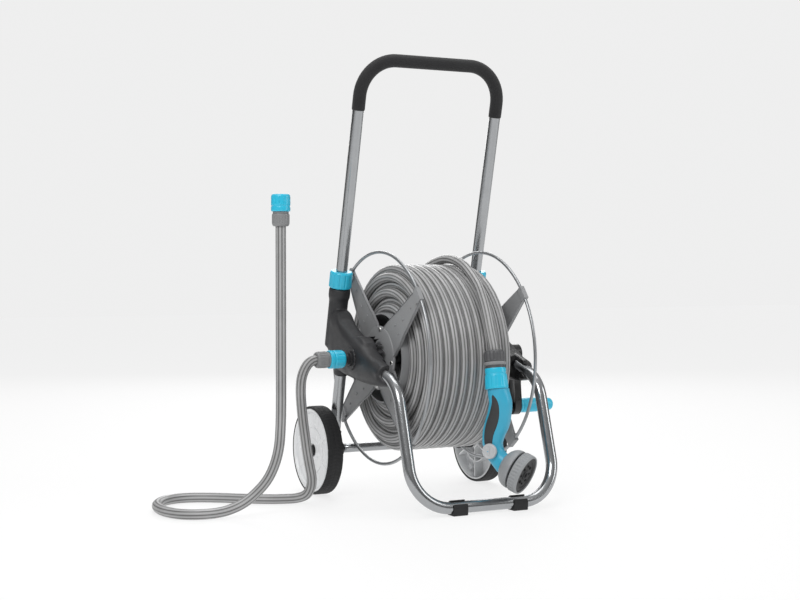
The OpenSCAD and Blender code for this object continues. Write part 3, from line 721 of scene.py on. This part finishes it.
def fused(name, parts, voxel, smooth_steps, material, cuts=()):
    """Joins meshes into one moulded skin: voxels fuse them and smoothing fills the corners.
    Cutters then make clean bores."""
    bm = bmesh.new()
    for points, faces in parts:
        verts = [bm.verts.new(p) for p in points]
        for face in faces:
            try:
                bm.faces.new([verts[i] for i in face])
            except ValueError:
                pass
    bmesh.ops.remove_doubles(bm, verts=bm.verts, dist=1e-6)
    obj = from_bmesh(name, bm, material)
    remesh = obj.modifiers.new("skin", "REMESH")
    remesh.mode = "VOXEL"
    remesh.voxel_size = voxel * MM
    remesh.use_smooth_shade = True
    soften = obj.modifiers.new("soften", "SMOOTH")
    soften.factor = 0.5
    soften.iterations = smooth_steps
    apply_modifiers(obj)
    for points, faces in cuts:
        cut(obj, points, faces)
    obj.data.shade_smooth()
    return obj


def rod(start, end, radius, steps=32, end_radius=None):
    """A closed round bar between two points of the cart's frame, maybe tapered."""
    a, b = Vector(start), Vector(end)
    matrix = basis(a, b - a, (0.3, 0.2, 1) if abs((b - a).normalized().x) > 0.9 else (1, 0, 0))
    length = (b - a).length
    r1 = radius if end_radius is None else end_radius
    points, faces = lathe([(0, 0), (radius, 0), (r1, length), (0, length)], steps)
    return placed(points, matrix), faces


BRACKET_OUTLINE = [
    (101, 330), (106, 312), (117, 289), (117, 272), (106, 252), (83, 229), (66, 223),
    (33, 216), (-12, 210), (-56, 206), (-98, 207), (-107, 216), (-76, 246), (-46, 261),
    (-22, 275), (18, 292), (50, 310), (70, 330),
]


def dome(outline, levels, sign):
    """A closed shape whose (y, z) outline shrinks about its middle. levels are (x, scale)."""
    centre = Vector((*np.mean(np.array(outline), 0), 0))
    loop = catmull([(*outline[-1], 0), *[(*p, 0) for p in outline], (*outline[0], 0),
                    (*outline[1], 0)], 5)[5:-6]
    points = []
    for x, scale in levels:
        for p in loop:
            q = centre + (p - centre) * scale
            points.append(at(sign * x, q.x, q.y))
    return points, ring_faces(len(levels), len(loop))


BRACKET_LEVELS = [(122, 0.8), (124, 0.92), (127, 0.985), (131, 1), (142, 1), (146.5, 0.985),
                  (150, 0.95), (153, 0.88), (155, 0.76), (156, 0.6)]


def nose_flat(sign):
    """The box that trims the bracket's nose flat on its inner side."""
    start, end = nose_point(8), nose_point(44)
    along = (end - start).normalized()
    across = Vector((0, along.z, -along.y))
    points = []
    for p in (start, end):
        for w in (-20, 20):
            q = p + across * w
            points += [at(sign * x, q.y, q.z) for x in (104, 133)]
    faces = [(0, 1, 3, 2), (4, 6, 7, 5), (0, 4, 5, 1), (2, 3, 7, 6), (0, 2, 6, 4), (1, 5, 7, 3)]
    return points, faces


def make_brackets():
    """Moulded side brackets, one skin each, with a bore that the handle slides in."""
    for side, sign in SIDES:

        def flip(p, sign=sign):
            return Vector((sign * p[0], p[1], p[2]))

        def bar(a, b, r, r2=None):
            return rod(flip(a), flip(b), r, 40, r2)

        line = [on_line(s, 0, LEG_X) for s in (-31.6, -49, -60, -140)]
        parts = [
            bar(line[0], line[1], 19.3),
            bar(on_line(-46, 0, LEG_X), on_line(-56, 0, LEG_X), 19, 16.6),
            bar(line[2] + LINE_UP * 8, line[3], 17.2),
            dome(BRACKET_OUTLINE, BRACKET_LEVELS, sign),
            bar(on_line(-150, LEG_OFFSET, LEG_X), on_line(-182, LEG_OFFSET, LEG_X), 14, 13),
            bar(nose_point(62), nose_point(14), 16.8),
            bar((121, 0, REEL_Z), (145, 0, REEL_Z), 38),
            bar((119.3, 0, REEL_Z), (140, 0, REEL_Z), 26),
            bar((150, 0, REEL_Z), (156.6, 0, REEL_Z), 24),
        ]
        bore = rod(flip(on_line(5, 0, LEG_X)), flip(on_line(-175, 0, LEG_X)), 10.2, 48)
        # The left bracket takes a lighter plastic than the right one, though both are the same
        # dark moulding: a painted lighter tone for the lit side.
        key = "charcoal" if sign < 0 else "black"
        skin = fused(f"bracket_skin_{side}", parts, 1.5, 26, key, [bore, nose_flat(sign)])
        hand_over(skin, "root", f"{key}_plastic", f"bracket_{side}")


# ---- Rear axle and wheels ---------------------------------------------------------------

def make_wheels():
    """Wheels whose tyres have slanted tread blocks between round grooves."""
    tread = rounded([(RIM_R + 0.1, 1.2), (76, 0.2), (78, 1.4), (78.9, 5), (78.9, 25),
                     (78, 28.6), (76, 29.8), (RIM_R + 0.1, 29)], 0.5, 3, closed=True)

    def block(angle, r, z):
        if r < 77.6:
            return 0.0
        slant = math.cos(78 * angle + (z - 15) * 0.34 * (1 if z > 15 else -1))
        groove = 0.9 if abs(z - 15) < 0.9 or abs(abs(z - 15) - 8.5) < 0.7 else 0.0
        return -max(groove, 0.7 * max(0.0, slant) ** 3)

    for side, sign in SIDES:
        matrix = basis((sign * WHEEL_X, AXLE_Y, AXLE_Z), (sign, 0, 0), (0, 0, 1))
        tyre = turned(f"rubber_tyre_{side}", dense(tread, 1.3), 468, matrix, "tyre", block,
                      closed=True)
        hand_over(tyre, f"wheel_{side}", "tyre_rubber", f"tyre_{side}")
        rim = wheel_rim(f"wheel_rim_{side}", matrix)
        hand_over(rim, f"wheel_{side}", "rim_plastic", f"rim_{side}")


def wheel_rim(name, matrix):
    """Moulded rim: dished outer face with slots between ribs, and a ribbed back."""
    bm = bmesh.new()
    add_ring(bm, [(RIM_R - 6, 27.2), (RIM_R - 4.5, 29), (RIM_R - 1, 29.4), (RIM_R, 28),
                  (RIM_R, 2), (RIM_R - 1, 1), (RIM_R - 3.4, 1.2), (RIM_R - 3.8, 3),
                  (RIM_R - 3.8, 20), (RIM_R - 7, 23)], 96)
    add_ring(bm, [(21, 21), (41, 22.2), (41, 24.6), (21, 23.6)], 96)
    add_ring(bm, [(4.1, 1.5), (13, 1.5), (14.5, 3), (14.5, 20), (22, 22.6), (22, 24.2), (12, 24.6),
                  (10.4, 23.4), (10, 20.9), (4.1, 20.9)], 64)
    sectors = 6
    for k in range(sectors):
        turn = 2 * math.pi * k / sectors
        add_box(bm, turn, (13.5, RIM_R - 4.5), (-1.5, 1.5), (5, 22))
        add_sector(bm, turn + 0.06, turn + 2 * math.pi / sectors - 0.06, 41, 69, 21.4, 24)
        add_box(bm, turn, (40.5, 69.5), (-4.5, 4.5), (21.6, 24.8))
        add_box(bm, turn + math.pi / sectors, (60, RIM_R - 3), (-6, 6), (14, 22))
    add_ring(bm, [(39.5, 6), (42, 6), (42, 22), (39.5, 22)], 96)
    obj = from_bmesh(name, bm, "rim", matrix)
    bevel(obj, 0.6, 2, 35)
    return obj


def add_ring(bm, profile, steps):
    """A closed profile of (radius, z) turned about Z, added to a bmesh."""
    rings = []
    for i in range(steps):
        a = 2 * math.pi * i / steps
        rings.append([bm.verts.new((r * math.cos(a), r * math.sin(a), z)) for r, z in profile])
    count = len(profile)
    for i in range(steps):
        n = (i + 1) % steps
        for k in range(count):
            m = (k + 1) % count
            bm.faces.new((rings[i][k], rings[n][k], rings[n][m], rings[i][m]))


def add_prism(bm, outline, z0, z1):
    """A prism on an outline of (x, y) points. Gives its top and bottom faces."""
    low = [bm.verts.new((x, y, z0)) for x, y in outline]
    high = [bm.verts.new((x, y, z1)) for x, y in outline]
    count = len(outline)
    for k in range(count):
        n = (k + 1) % count
        bm.faces.new((low[k], low[n], high[n], high[k]))
    bottom = bm.faces.new(low[::-1])
    top = bm.faces.new(high)
    return top, bottom


def add_box(bm, turn, u_range, w_range, z_range):
    """A box along a direction turned about Z, with u along it and w across it."""
    c, s = math.cos(turn), math.sin(turn)
    corners = [(u_range[0], w_range[0]), (u_range[1], w_range[0]), (u_range[1], w_range[1]),
               (u_range[0], w_range[1])]
    add_prism(bm, [(u * c - w * s, u * s + w * c) for u, w in corners], *z_range)


def add_sector(bm, start, end, r0, r1, z0, z1, steps=10):
    """A flat piece of a ring between two angles."""
    angles = [start + (end - start) * i / steps for i in range(steps + 1)]
    outline = [(r0 * math.cos(a), r0 * math.sin(a)) for a in angles]
    outline += [(r1 * math.cos(a), r1 * math.sin(a)) for a in reversed(angles)]
    add_prism(bm, outline[::-1], z0, z1)


# ---- Reel ---------------------------------------------------------------------------------

def make_reel():
    for side, sign in SIDES:
        matrix = basis((0, 0, REEL_Z), (sign, 0, 0), (0, -1, 0))
        flange = reel_flange(f"spoked_flange_{side}", matrix, sign)
        hand_over(flange, "reel", "reel_plastic", f"flange_{side}")
        line = [Vector((sign * RING_X, RING_R * math.cos(a), REEL_Z + RING_R * math.sin(a)))
                for a in np.linspace(0, 2 * math.pi, 144, endpoint=False)]
        ring = sweep(f"wire_ring_{side}", line, RING_ROD, 14, "ring", closed=True, up=(1, 0, 0))
        hand_over(ring, "reel", "ring_wire", f"ring_{side}")


def reel_flange(name, matrix, sign):
    """Four tapered spokes with raised edges and ring clasps, and a hub that flares like a
    bell. Local +X is the front, and the spokes start SPOKE_ANGLE above it."""
    bm = bmesh.new()
    base = 98.0
    half = [(20, 24), (52, 31), (60, 30), (78, 28), (100, 23), (130, 19.2), (160, 15),
            (RING_R - 7, 12.6)]
    spoke = [(u, -w) for u, w in half] + [(u, w) for u, w in reversed(half)]
    up = 1 if sign < 0 else -1
    for k in range(4):
        turn = up * math.radians(90 * k + SPOKE_ANGLE)
        c, s = math.cos(turn), math.sin(turn)
        outline = [(u * c - w * s, u * s + w * c) for u, w in spoke]
        top, _ = add_prism(bm, outline, base, base + 6.2)
        bmesh.ops.inset_region(bm, faces=[top], thickness=2.6, depth=0.0)
        bmesh.ops.translate(bm, verts=list(top.verts), vec=(0, 0, -2.4))
        add_box(bm, turn, (RING_R - 9, RING_R + 4.6), (-12.6, 12.6), (base, base + 8.1))
        add_box(bm, turn, (RING_R - 16, RING_R - 9), (-9, 9), (base + 3, base + 6.8))
        for u, w in ((84, 9), (84, -9), (112, 0), (146, 0)):
            add_box(bm, turn, (u - 2.4, u + 2.4), (w - 1.4, w + 1.4), (base + 2, base + 5.2))
    add_ring(bm, rounded([(16, base), (56, base), (56, base + 4.8), (48, base + 5.4),
                          (34, base + 6.8), (24, base + 8.6), (19, base + 10.4),
                          (16, base + 10.4)], 1.5, 2, True), 96)
    add_ring(bm, [(6.2, base + 18), (15.9, base + 18), (15.9, 138), (6.2, 138)], 48)
    obj = from_bmesh(name, bm, "reel", matrix)
    bevel(obj, 0.7, 2, 28)
    return obj


def smooth_step(t):
    t = min(1.0, max(0.0, t))
    return t * t * (3 - 2 * t)


def winding_path():
    """The wound hose's line: turns side by side, layers nested in the grooves below, each
    turn stepping across in a short stretch at the back, low down. Angles go from the front
    over the top, so the line runs the way that winds the hose in."""
    rng = np.random.default_rng(7)
    per_turn = 56
    line = []
    wobble = 0.0
    start_x = WINDING_MID - TURNS * HOSE_D / 2
    for layer in range(LAYERS):
        count = TURNS if layer % 2 == 0 else TURNS - 1
        shift = 0.5 if layer % 2 == 0 else 1.0
        places = [start_x + (k + shift) * HOSE_D for k in range(count)]
        if layer % 2:
            places.reverse()
        radius = DRUM_R + HOSE_D / 2 + layer * LAYER_PITCH
        for turn, x in enumerate(places):
            last = turn == count - 1
            next_x, next_r = x, radius
            if not last:
                next_x = places[turn + 1]
            elif layer < LAYERS - 1:
                next_x += (0.5 if x < WINDING_MID else -0.5) * HOSE_D
                next_r += LAYER_PITCH
            target = rng.normal(0, 0.5)
            for i in range(per_turn):
                share = i / per_turn
                step = smooth_step((share - 0.80) / 0.20)
                wobble_now = wobble + (target - wobble) * share
                line.append((x + (next_x - x) * step + wobble_now,
                             radius + (next_r - radius) * step, share))
            wobble = target
    return line


def make_hoses():
    """The wound hose with its last half turn lifted to meet the free end, then both ends."""
    def on_reel(x, r, degrees):
        a = math.radians(degrees)
        return Vector((x, -r * math.cos(a), REEL_Z + r * math.sin(a)))

    winding = winding_path()
    line = [on_reel(x, r, -180 - 360 * share) for x, r, share in winding]
    end_x, end_r, _ = winding[-1]
    lift_from, rise_from, lift_to, steps = -180, -186, -230, 14
    tail_x, tail_r = TAIL_ROUTE[0][0], 172.3
    for i in range(steps + 1):
        degrees = lift_from + (lift_to - lift_from) * i / steps
        t = (degrees - rise_from) / (lift_to - rise_from)
        line.append(on_reel(end_x + (tail_x - end_x) * smooth_step((t - 0.2) / 0.8),
                            end_r + (tail_r - end_r) * smooth_step(t * 1.25), degrees))
    coil = sweep("wound_hose", line, HOSE_D / 2, 12, "hose", up=(1, 0, 0))
    hand_over(coil, "reel", "hose_pvc", "hose_winding")
    line = catmull(TAIL_ROUTE, 6)
    tail = sweep("hose_free_end", line, HOSE_D / 2, 16, "hose", up=(1, 0, 0))
    hand_over(tail, "root", "hose_pvc", "hose_tail")
    line = catmull(FEED_ROUTE, 5)
    feed = sweep("feed_hose_run", line, FEED_D / 2, 16, "hose", up=(0, 1, 0))
    hand_over(feed, "root", "hose_pvc", "feed_hose")


# ---- Quick connectors -------------------------------------------------------------------

def ripples(count, depth, r_from, z_from, z_to, power=2):
    """A ripple for lathe: flutes that fade out at both ends."""
    def ripple(angle, r, z):
        if r < r_from or not z_from < z < z_to:
            return 0.0
        fade = min(1.0, (z - z_from) / 1.5, (z_to - z) / 1.5)
        return -depth * fade * max(0.0, math.cos(count * angle)) ** power
    return ripple


def make_connector(label, matrix, hose_r, nut_key, nut_slot, flared, sleeve_body):
    """A fluted nut and a sliding sleeve on the CAD core. Local z = 0 is the mouth."""
    if flared:
        sleeve = [(13.2, -28), (14.0, -28), (14.3, -26.5), (14.3, -21.5), (13.9, -20.6),
                  (14.1, -19.6), (14.9, -18.2), (15.5, -8), (15.75, -1.4), (15.2, 0)]
    else:
        sleeve = [(13.2, -28), (15.0, -28), (15.7, -26.6), (15.75, -21), (15.1, -20),
                  (15.1, -18.6), (15.75, -17.6), (15.6, -3.4), (14.2, 0)]
    profile = dense(rounded(sleeve + [(11.3, 0), (11.3, -21), (13.2, -21)], 0.6, 3, True), 1.2)
    piece = turned(f"{label}_sleeve_finish", profile, 144, matrix, "blue",
                   ripples(12, 0.8, 14, -17, -2.5, 6), True)
    hand_over(piece, sleeve_body, "blue_plastic", f"{label}_sleeve")
    low = -36.8 if flared else -31.7
    nut = [(hose_r + 0.05, -52), (11.7, -52), (13.2, -50.6), (14.3, -47.4), (14.4, low - 2.4),
           (13.9, low), (11.1, low), (11.1, -44.3), (hose_r + 0.05, -44.3)]
    profile = dense(rounded(nut, 0.6, 3, True), 1.2)
    flutes = ripples(12, 1.1, 13, -50.5, low - 1, 1) if flared else ripples(
        18, 0.7, 13, -49.5, low - 1.8, 2)
    piece = turned(f"{label}_nut_finish", profile, 144, matrix, nut_key, flutes, True)
    hand_over(piece, "root", nut_slot, f"{label}_nut")


def make_connectors():
    make_connector("inlet", basis((-171.6, 0, REEL_Z), (1, 0, 0), (0, 0, 1)), FEED_D / 2,
                   "fitting", "connector_grey", False, "inlet_sleeve")
    make_connector("tap", basis((-317, -70, 525), (0, 0, 1)), FEED_D / 2, "fitting",
                   "connector_grey", False, "tap_sleeve")
    matrix = basis(GUN_AT, -GUN_UP) @ Matrix.Scale(GUN_SCALE, 4)
    collar = rounded([(11.1, -36.6), (14.0, -36.6), (14.9, -35.2), (14.9, -33.4),
                      (13.9, -31.7), (11.1, -31.7)], 0.5, 3, True)
    piece = turned("gun_nut_collar", collar, 96, matrix, "fitting", closed=True)
    hand_over(piece, "root", "connector_grey")
    make_connector("gun", matrix, HOSE_D / 2 / GUN_SCALE, "fitting_dark", "connector_dark",
                   True, "gun_sleeve")


# ---- Crank --------------------------------------------------------------------------------

def make_crank():
    hub_r, end_r, waist, side_steps, arc_steps = 17, 16, 4.2, 12, 16
    half_turn = [math.pi * i / arc_steps for i in range(arc_steps + 1)]
    outline = [(hub_r * math.cos(a), hub_r * math.sin(a)) for a in half_turn]
    side_line = []
    for i in range(1, side_steps):
        t = i / side_steps
        width = hub_r + (end_r - hub_r) * t - waist * math.sin(math.pi * t) ** 2
        side_line.append((width, -CRANK_R * t))
    outline += [(-w, u) for w, u in side_line]
    outline += [(-end_r * math.cos(a), -CRANK_R - end_r * math.sin(a)) for a in half_turn]
    outline += list(reversed(side_line))
    bm = bmesh.new()
    top, bottom = add_prism(bm, outline, 0, ARM_W - 0.2)
    for face, depth in ((top, -2.2), (bottom, 1.6)):
        bmesh.ops.inset_region(bm, faces=[face], thickness=3.4, depth=0.0)
        bmesh.ops.translate(bm, verts=list(face.verts), vec=(0, 0, depth))
    arm = from_bmesh("crank_arm_moulding", bm, "black",
                     basis((ARM_X, 0, REEL_Z), (1, 0, 0), (0, 1, 0)))
    for z, r, depth in ((0, 6.05, 12), (-CRANK_R, 7.2, 4.2), (-CRANK_R, 4.02, 30)):
        cut(arm, *rod((ARM_X - 3, 0, REEL_Z + z), (ARM_X + depth, 0, REEL_Z + z), r, 48))
    bevel(arm, 1.1, 3, 35)
    hand_over(arm, "reel", "black_plastic", "crank_arm")
    for label, z, r in (("hub", 0, 12.6), ("end", -CRANK_R, 8.4)):
        bm = bmesh.new()
        low = ARM_W - 2.6
        inner = 4.1 if label == "end" else 3
        add_ring(bm, rounded([(inner, low), (r, low), (r, low + 2.2), (r - 1.6, ARM_W - 0.3),
                              (inner, ARM_W - 0.3)], 0.6, 2, True), 64)
        if label == "hub":
            add_ring(bm, rounded([(0.4, low), (3.4, low), (3.4, low + 1.6), (0.4, low + 1.6)],
                                 0.4, 2, True), 32)
        cap = from_bmesh(f"crank_{label}_boss", bm, "black",
                         basis((ARM_X, 0, REEL_Z + z), (1, 0, 0), (0, 1, 0)))
        hand_over(cap, "reel", "black_plastic")
    profile = rounded([(0, GRIP_LEN - 4), (4.05, GRIP_LEN - 4), (4.05, 0), (12.2, 0), (13.4, 1.4),
                       (13.4, 4.4), (12.5, 5.4), (12.5, 6.8), (13.2, 8), (13.45, 20), (12.9, 38),
                       (12.2, 55), (11.9, 64), (10.8, 69.4), (8.6, 72), (5.8, 72.7), (5, 72),
                       (0, 72)], 0.9, 3)
    matrix = basis((ARM_X + ARM_W + 0.4, 0, REEL_Z - CRANK_R), (1, 0, 0), (0, 1, 0))
    grip = turned("crank_knob_grip", profile, 96, matrix, "blue")
    hand_over(grip, "crank_grip", "blue_plastic", "crank_grip")


# ---- Spray gun ----------------------------------------------------------------------------

GUN_AT = (19.5, -193.5, 204)
GUN_LEAN = math.radians(9)
GUN_UP = Vector((0, math.sin(GUN_LEAN), math.cos(GUN_LEAN)))
GUN_SCALE = 1.24
BODY_AT = Vector((19.5, -188, 204))
GUN_TURN = math.radians(33.5)
HEAD_AT = Vector((0, -57.5, -142))
HEAD_DIP = math.radians(23)
GUN_SPIN = Matrix.Rotation(GUN_TURN, 4, "Z")

# The handle's spine: y, z, half depth and half width at each station
HANDLE_STATIONS = [
    (-5, 6, 18, 18), (-6.5, -6, 17.6, 17.6), (-10, -24, 19.4, 16.5), (-8, -42, 20, 16),
    (-4.2, -57, 20.8, 15.5), (1.4, -72, 19.4, 15), (4.2, -87, 17.7, 14.5), (3, -98, 16.5, 14.2),
    (-1, -108, 15.5, 14), (-8, -117, 15.5, 14), (-17, -125, 17, 15), (-24, -129, 18, 16),
]


def gun_matrix(place=(0, 0, 0), axis=(0, 0, 1), hint=(1, 0, 0)):
    """A frame at a point of the gun, whose handle is upright and whose nozzle faces -Y."""
    spot = BODY_AT + GUN_SPIN @ Vector(place)
    return basis(spot, GUN_SPIN @ Vector(axis), GUN_SPIN @ Vector(hint))


def handle_at(t):
    """Station values at t, from 0 at the top to the last station's number."""
    last = len(HANDLE_STATIONS) - 1
    i = min(int(t), last - 1)
    rows = [np.array(HANDLE_STATIONS[min(max(i + k, 0), last)], float) for k in (-1, 0, 1, 2)]
    return catmull_point(*rows, t - i)


def handle_skin(t, angle, proud=0.0):
    """A point of the handle's surface. Angle 0 is +X, and a quarter turn on is the front."""
    y, z, depth, width = handle_at(t)
    ahead = handle_at(min(t + 0.05, len(HANDLE_STATIONS) - 1))
    behind = handle_at(max(t - 0.05, 0))
    tangent = np.array([ahead[0] - behind[0], ahead[1] - behind[1]])
    tangent /= np.linalg.norm(tangent)
    forward = np.array([tangent[1], -tangent[0]])
    power = 2 / 2.35
    c, s = math.cos(angle), math.sin(angle)
    x = (width + proud) * math.copysign(abs(c) ** power, c)
    w = (depth + proud) * math.copysign(abs(s) ** power, s)
    return Vector((x, y + forward[0] * w, z + forward[1] * w))


def make_gun_body():
    last = len(HANDLE_STATIONS) - 1
    rings, sides = 88, 56
    points = [handle_skin(last * i / rings, 2 * math.pi * k / sides)
              for i in range(rings + 1) for k in range(sides)]
    body = clean(new_object("gun_handle_shell", placed(points, gun_matrix()),
                            ring_faces(rings + 1, sides), "gun_blue"))
    bm = bmesh.new()
    bm.from_mesh(body.data)
    edge = at(*(Vector(GUN_AT) - GUN_UP * 0.5))
    cutting = bmesh.ops.bisect_plane(bm, geom=bm.verts[:] + bm.edges[:] + bm.faces[:],
                                     plane_co=edge, plane_no=GUN_UP, clear_outer=True)
    rim = [e for e in cutting["geom_cut"] if isinstance(e, bmesh.types.BMEdge)]
    bmesh.ops.contextual_create(bm, geom=rim)
    bm.to_mesh(body.data)
    bm.free()
    bevel(body, 1.4, 3, 55)
    hand_over(body, "gun", "blue_plastic", "gun_body")
    boss = turned("knob_boss", [(0, 6), (11.6, 6), (11.6, 1.2), (10.6, 0), (0, 0)], 64,
                  gun_matrix((-14.6, 2, -103), (1, 0, 0)), "gun_blue")
    hand_over(boss, "gun", "blue_plastic")


# A pad's place along the spine, its middle's angle from the side towards the back, and half
# its width as an angle, from its pointed top to its round lower end
PAD_STATIONS = [
    (1.15, 0.16, 0.02), (1.3, 0.16, 0.12), (1.6, 0.15, 0.2), (2.2, 0.15, 0.32),
    (3.0, 0.16, 0.43), (4.2, 0.20, 0.47), (5.4, 0.16, 0.42), (6.3, 0.10, 0.37),
    (6.8, 0.08, 0.26), (7.0, 0.08, 0.02),
]


def make_gun_pads():
    """Soft leaf-shaped pads let into both sides of the handle."""
    stations = catmull(PAD_STATIONS, 6)
    for label, middle, way, names in (("left", math.pi, 1, ("gun_inset",)), ("right", 0, -1, ())):
        rows, columns = len(stations) - 1, 10
        outer, inner = [], []
        for s, shift, half in stations:
            rise = 0.9 * min(1.0, max(half, 0.02) / 0.3)
            for k in range(columns + 1):
                v = 2 * k / columns - 1
                angle = middle + way * shift + max(half, 0.02) * v
                outer.append(handle_skin(s, angle, 0.15 + rise * (1 - v ** 4)))
                inner.append(handle_skin(s, angle, -1.2))
        wide = columns + 1
        count = len(outer)
        faces = []
        for i in range(rows):
            for k in range(columns):
                a = i * wide + k
                quad = (a, a + 1, a + wide + 1, a + wide)
                faces.append(quad)
                faces.append(tuple(count + q for q in reversed(quad)))
        border = list(range(columns)) + [i * wide + columns for i in range(rows)]
        border += [rows * wide + k for k in range(columns, 0, -1)]
        border += [i * wide for i in range(rows, 0, -1)]
        for a, b in zip(border, border[1:] + border[:1]):
            faces.append((b, a, count + a, count + b))
        pad = new_object(f"grip_pad_{label}", placed(outer + inner, gun_matrix()), faces, "inset")
        hand_over(clean(pad), "gun", "gun_grip_rubber", *names)


def make_gun_head():
    matrix = gun_matrix(HEAD_AT, (0, -math.cos(HEAD_DIP), -math.sin(HEAD_DIP)))
    shroud = rounded([(0, -46.6), (10, -46.4), (18, -44.2), (25, -40.2), (30, -35.2), (32.6, -30),
                      (33.5, -25), (33.5, -21.6), (31, -21.2), (0, -21.2)], 1.2, 3)
    hand_over(turned("head_shroud", shroud, 96, matrix, "gun_grey"), "gun", "gun_grey",
              "gun_shroud")
    ring = rounded([(27, -18.2), (32.6, -18.2), (34.5, -16.6), (34.5, -4.4), (33.8, -1.2),
                    (32.2, -0.1), (31.1, -0.6), (30.9, -3.6), (27, -3.8)], 0.7, 3, True)
    piece = turned("pattern_ring", dense(ring, 1.1), 288, matrix, "gun_grey",
                   ripples(36, 1.3, 33, -15.8, -4, 3), True)
    hand_over(piece, "gun_head", "gun_grey", "gun_ring")
    bm = bmesh.new()
    face = rounded([(4.2, -20.6), (26.8, -20.6), (26.8, -3.5), (30.7, -3.4), (30.7, -2),
                    (24.4, -1.8), (22.6, -3.4), (9, -3.4), (8, -1.4), (5.4, -1.2), (4.2, -3)],
                   0.5, 2, True)
    add_ring(bm, face, 96)
    add_ring(bm, [(0.01, -12), (4.3, -12), (4.3, -10), (0.01, -10)], 32)
    for k in range(8):
        a = 2 * math.pi * k / 8
        outer = 2.6 if k % 2 else 1.9
        tube = [(outer - 1, -3.6), (outer, -3.6), (outer, -1.6), (outer - 1, -1.6)]
        base = len(bm.verts)
        add_ring(bm, tube, 20)
        bm.verts.ensure_lookup_table()
        new = bm.verts[base:]
        bmesh.ops.translate(bm, verts=new, vec=(15.6 * math.cos(a), 15.6 * math.sin(a), 0))
    hand_over(from_bmesh("spray_face", bm, "nozzle", matrix), "gun_head", "nozzle_black",
              "gun_face")


def make_gun_knob():
    """Flow knob with a pointer rib across it."""
    bm = bmesh.new()
    add_ring(bm, rounded([(0.01, 0), (12.4, 0), (13, 0.8), (12.7, 5), (11.6, 6.1), (9.4, 6.1),
                          (8.6, 5.1), (0.01, 5.1)], 0.5, 2, True), 72)
    add_prism(bm, [(-1.3, -7), (1.3, -7), (1.5, 5), (0, 7.6), (-1.5, 5)], 4.6, 5.9)
    knob = from_bmesh("flow_knob", bm, "knob",
                      gun_matrix((-14.9, 2, -103), (-1, 0, 0), (0, 1, 0)))
    bevel(knob, 0.5, 2, 35)
    hand_over(knob, "gun_knob", "knob_grey", "gun_knob")


# ---- Bracket trim and the finish of the CAD nodes ------------------------------------------

def make_bracket_trim():
    """Curved fins round the hub on each bracket's inner side, and the ribbed inlet boss."""
    for side, sign in SIDES:
        bm = bmesh.new()
        for k in range(15):
            turn = 2 * math.pi * k / 15
            inner, outer, thick, steps = 20.5, 37.5, 1.1, 7
            edges = []
            for half in (-thick, thick):
                edge = []
                for i in range(steps + 1):
                    r = inner + (outer - inner) * i / steps
                    a = turn + sign * 0.55 * (i / steps) ** 1.3 + half / r
                    edge.append((r * math.cos(a), r * math.sin(a)))
                edges.append(edge)
            add_prism(bm, edges[0] + edges[1][::-1], 0, 14)
        add_ring(bm, [(19, 5), (22, 5), (26, 13.5), (19, 13.5)], 64)
        # As on the brackets, the left fins take the lighter plastic: a painted lighter tone for
        # the lit side.
        key = "charcoal" if sign < 0 else "black"
        fins = from_bmesh(f"hub_fins_{side}", bm, key,
                          basis((sign * 109.5, 0, REEL_Z), (sign, 0, 0), (0, -1, 0)))
        bevel(fins, 0.5, 2, 35)
        hand_over(fins, "root", f"{key}_plastic")
    # The inlet boss takes the left bracket's lighter plastic, with the same painted lighter tone.
    profile = dense(rounded([(8.2, 0), (20.6, 0), (20, 4), (19.4, 7.6), (8.2, 7.6)], 0.8, 2, True),
                    1.0)
    matrix = basis((-151.5, 0, REEL_Z), (-1, 0, 0), (0, 0, 1))
    boss = turned("inlet_boss_ribs", profile, 144, matrix, "charcoal",
                  ripples(14, 1.6, 17, 0.5, 8, 4), True)
    hand_over(boss, "root", "charcoal_plastic")


NODE_FINISH = {
    "white": ("collet_left", "collet_right", "bush_left", "bush_right"),
    "charcoal": ("axle_clamp_left", "axle_clamp_right", "inlet_nipple"),
    "steel": ("axle_rod", "axle_washers", "bracket_screws", "flange_screws", "crank_shaft",
              "crank_pin"),
    "black": ("axle_caps",),
    "rubber": ("nipple_seals",),
    "reel": ("drum",),
    "outlet": ("drum_outlet",),
    "fitting": ("inlet_connector", "tap_connector"),
    "fitting_dark": ("gun_connector", "gun_nipple"),
}


def finish_nodes():
    for key, nodes in NODE_FINISH.items():
        for node in nodes:
            for slot in frame["nodes"][node].material_slots:
                slot.material = MATERIALS[key]


set_camera()
set_studio()
set_floor()
make_connectors()
make_hoses()
make_tubes()
make_collars()
make_feet()
make_brackets()
make_bracket_trim()
make_wheels()
make_reel()
make_crank()
make_gun_body()
make_gun_pads()
make_gun_head()
make_gun_knob()
finish_nodes()
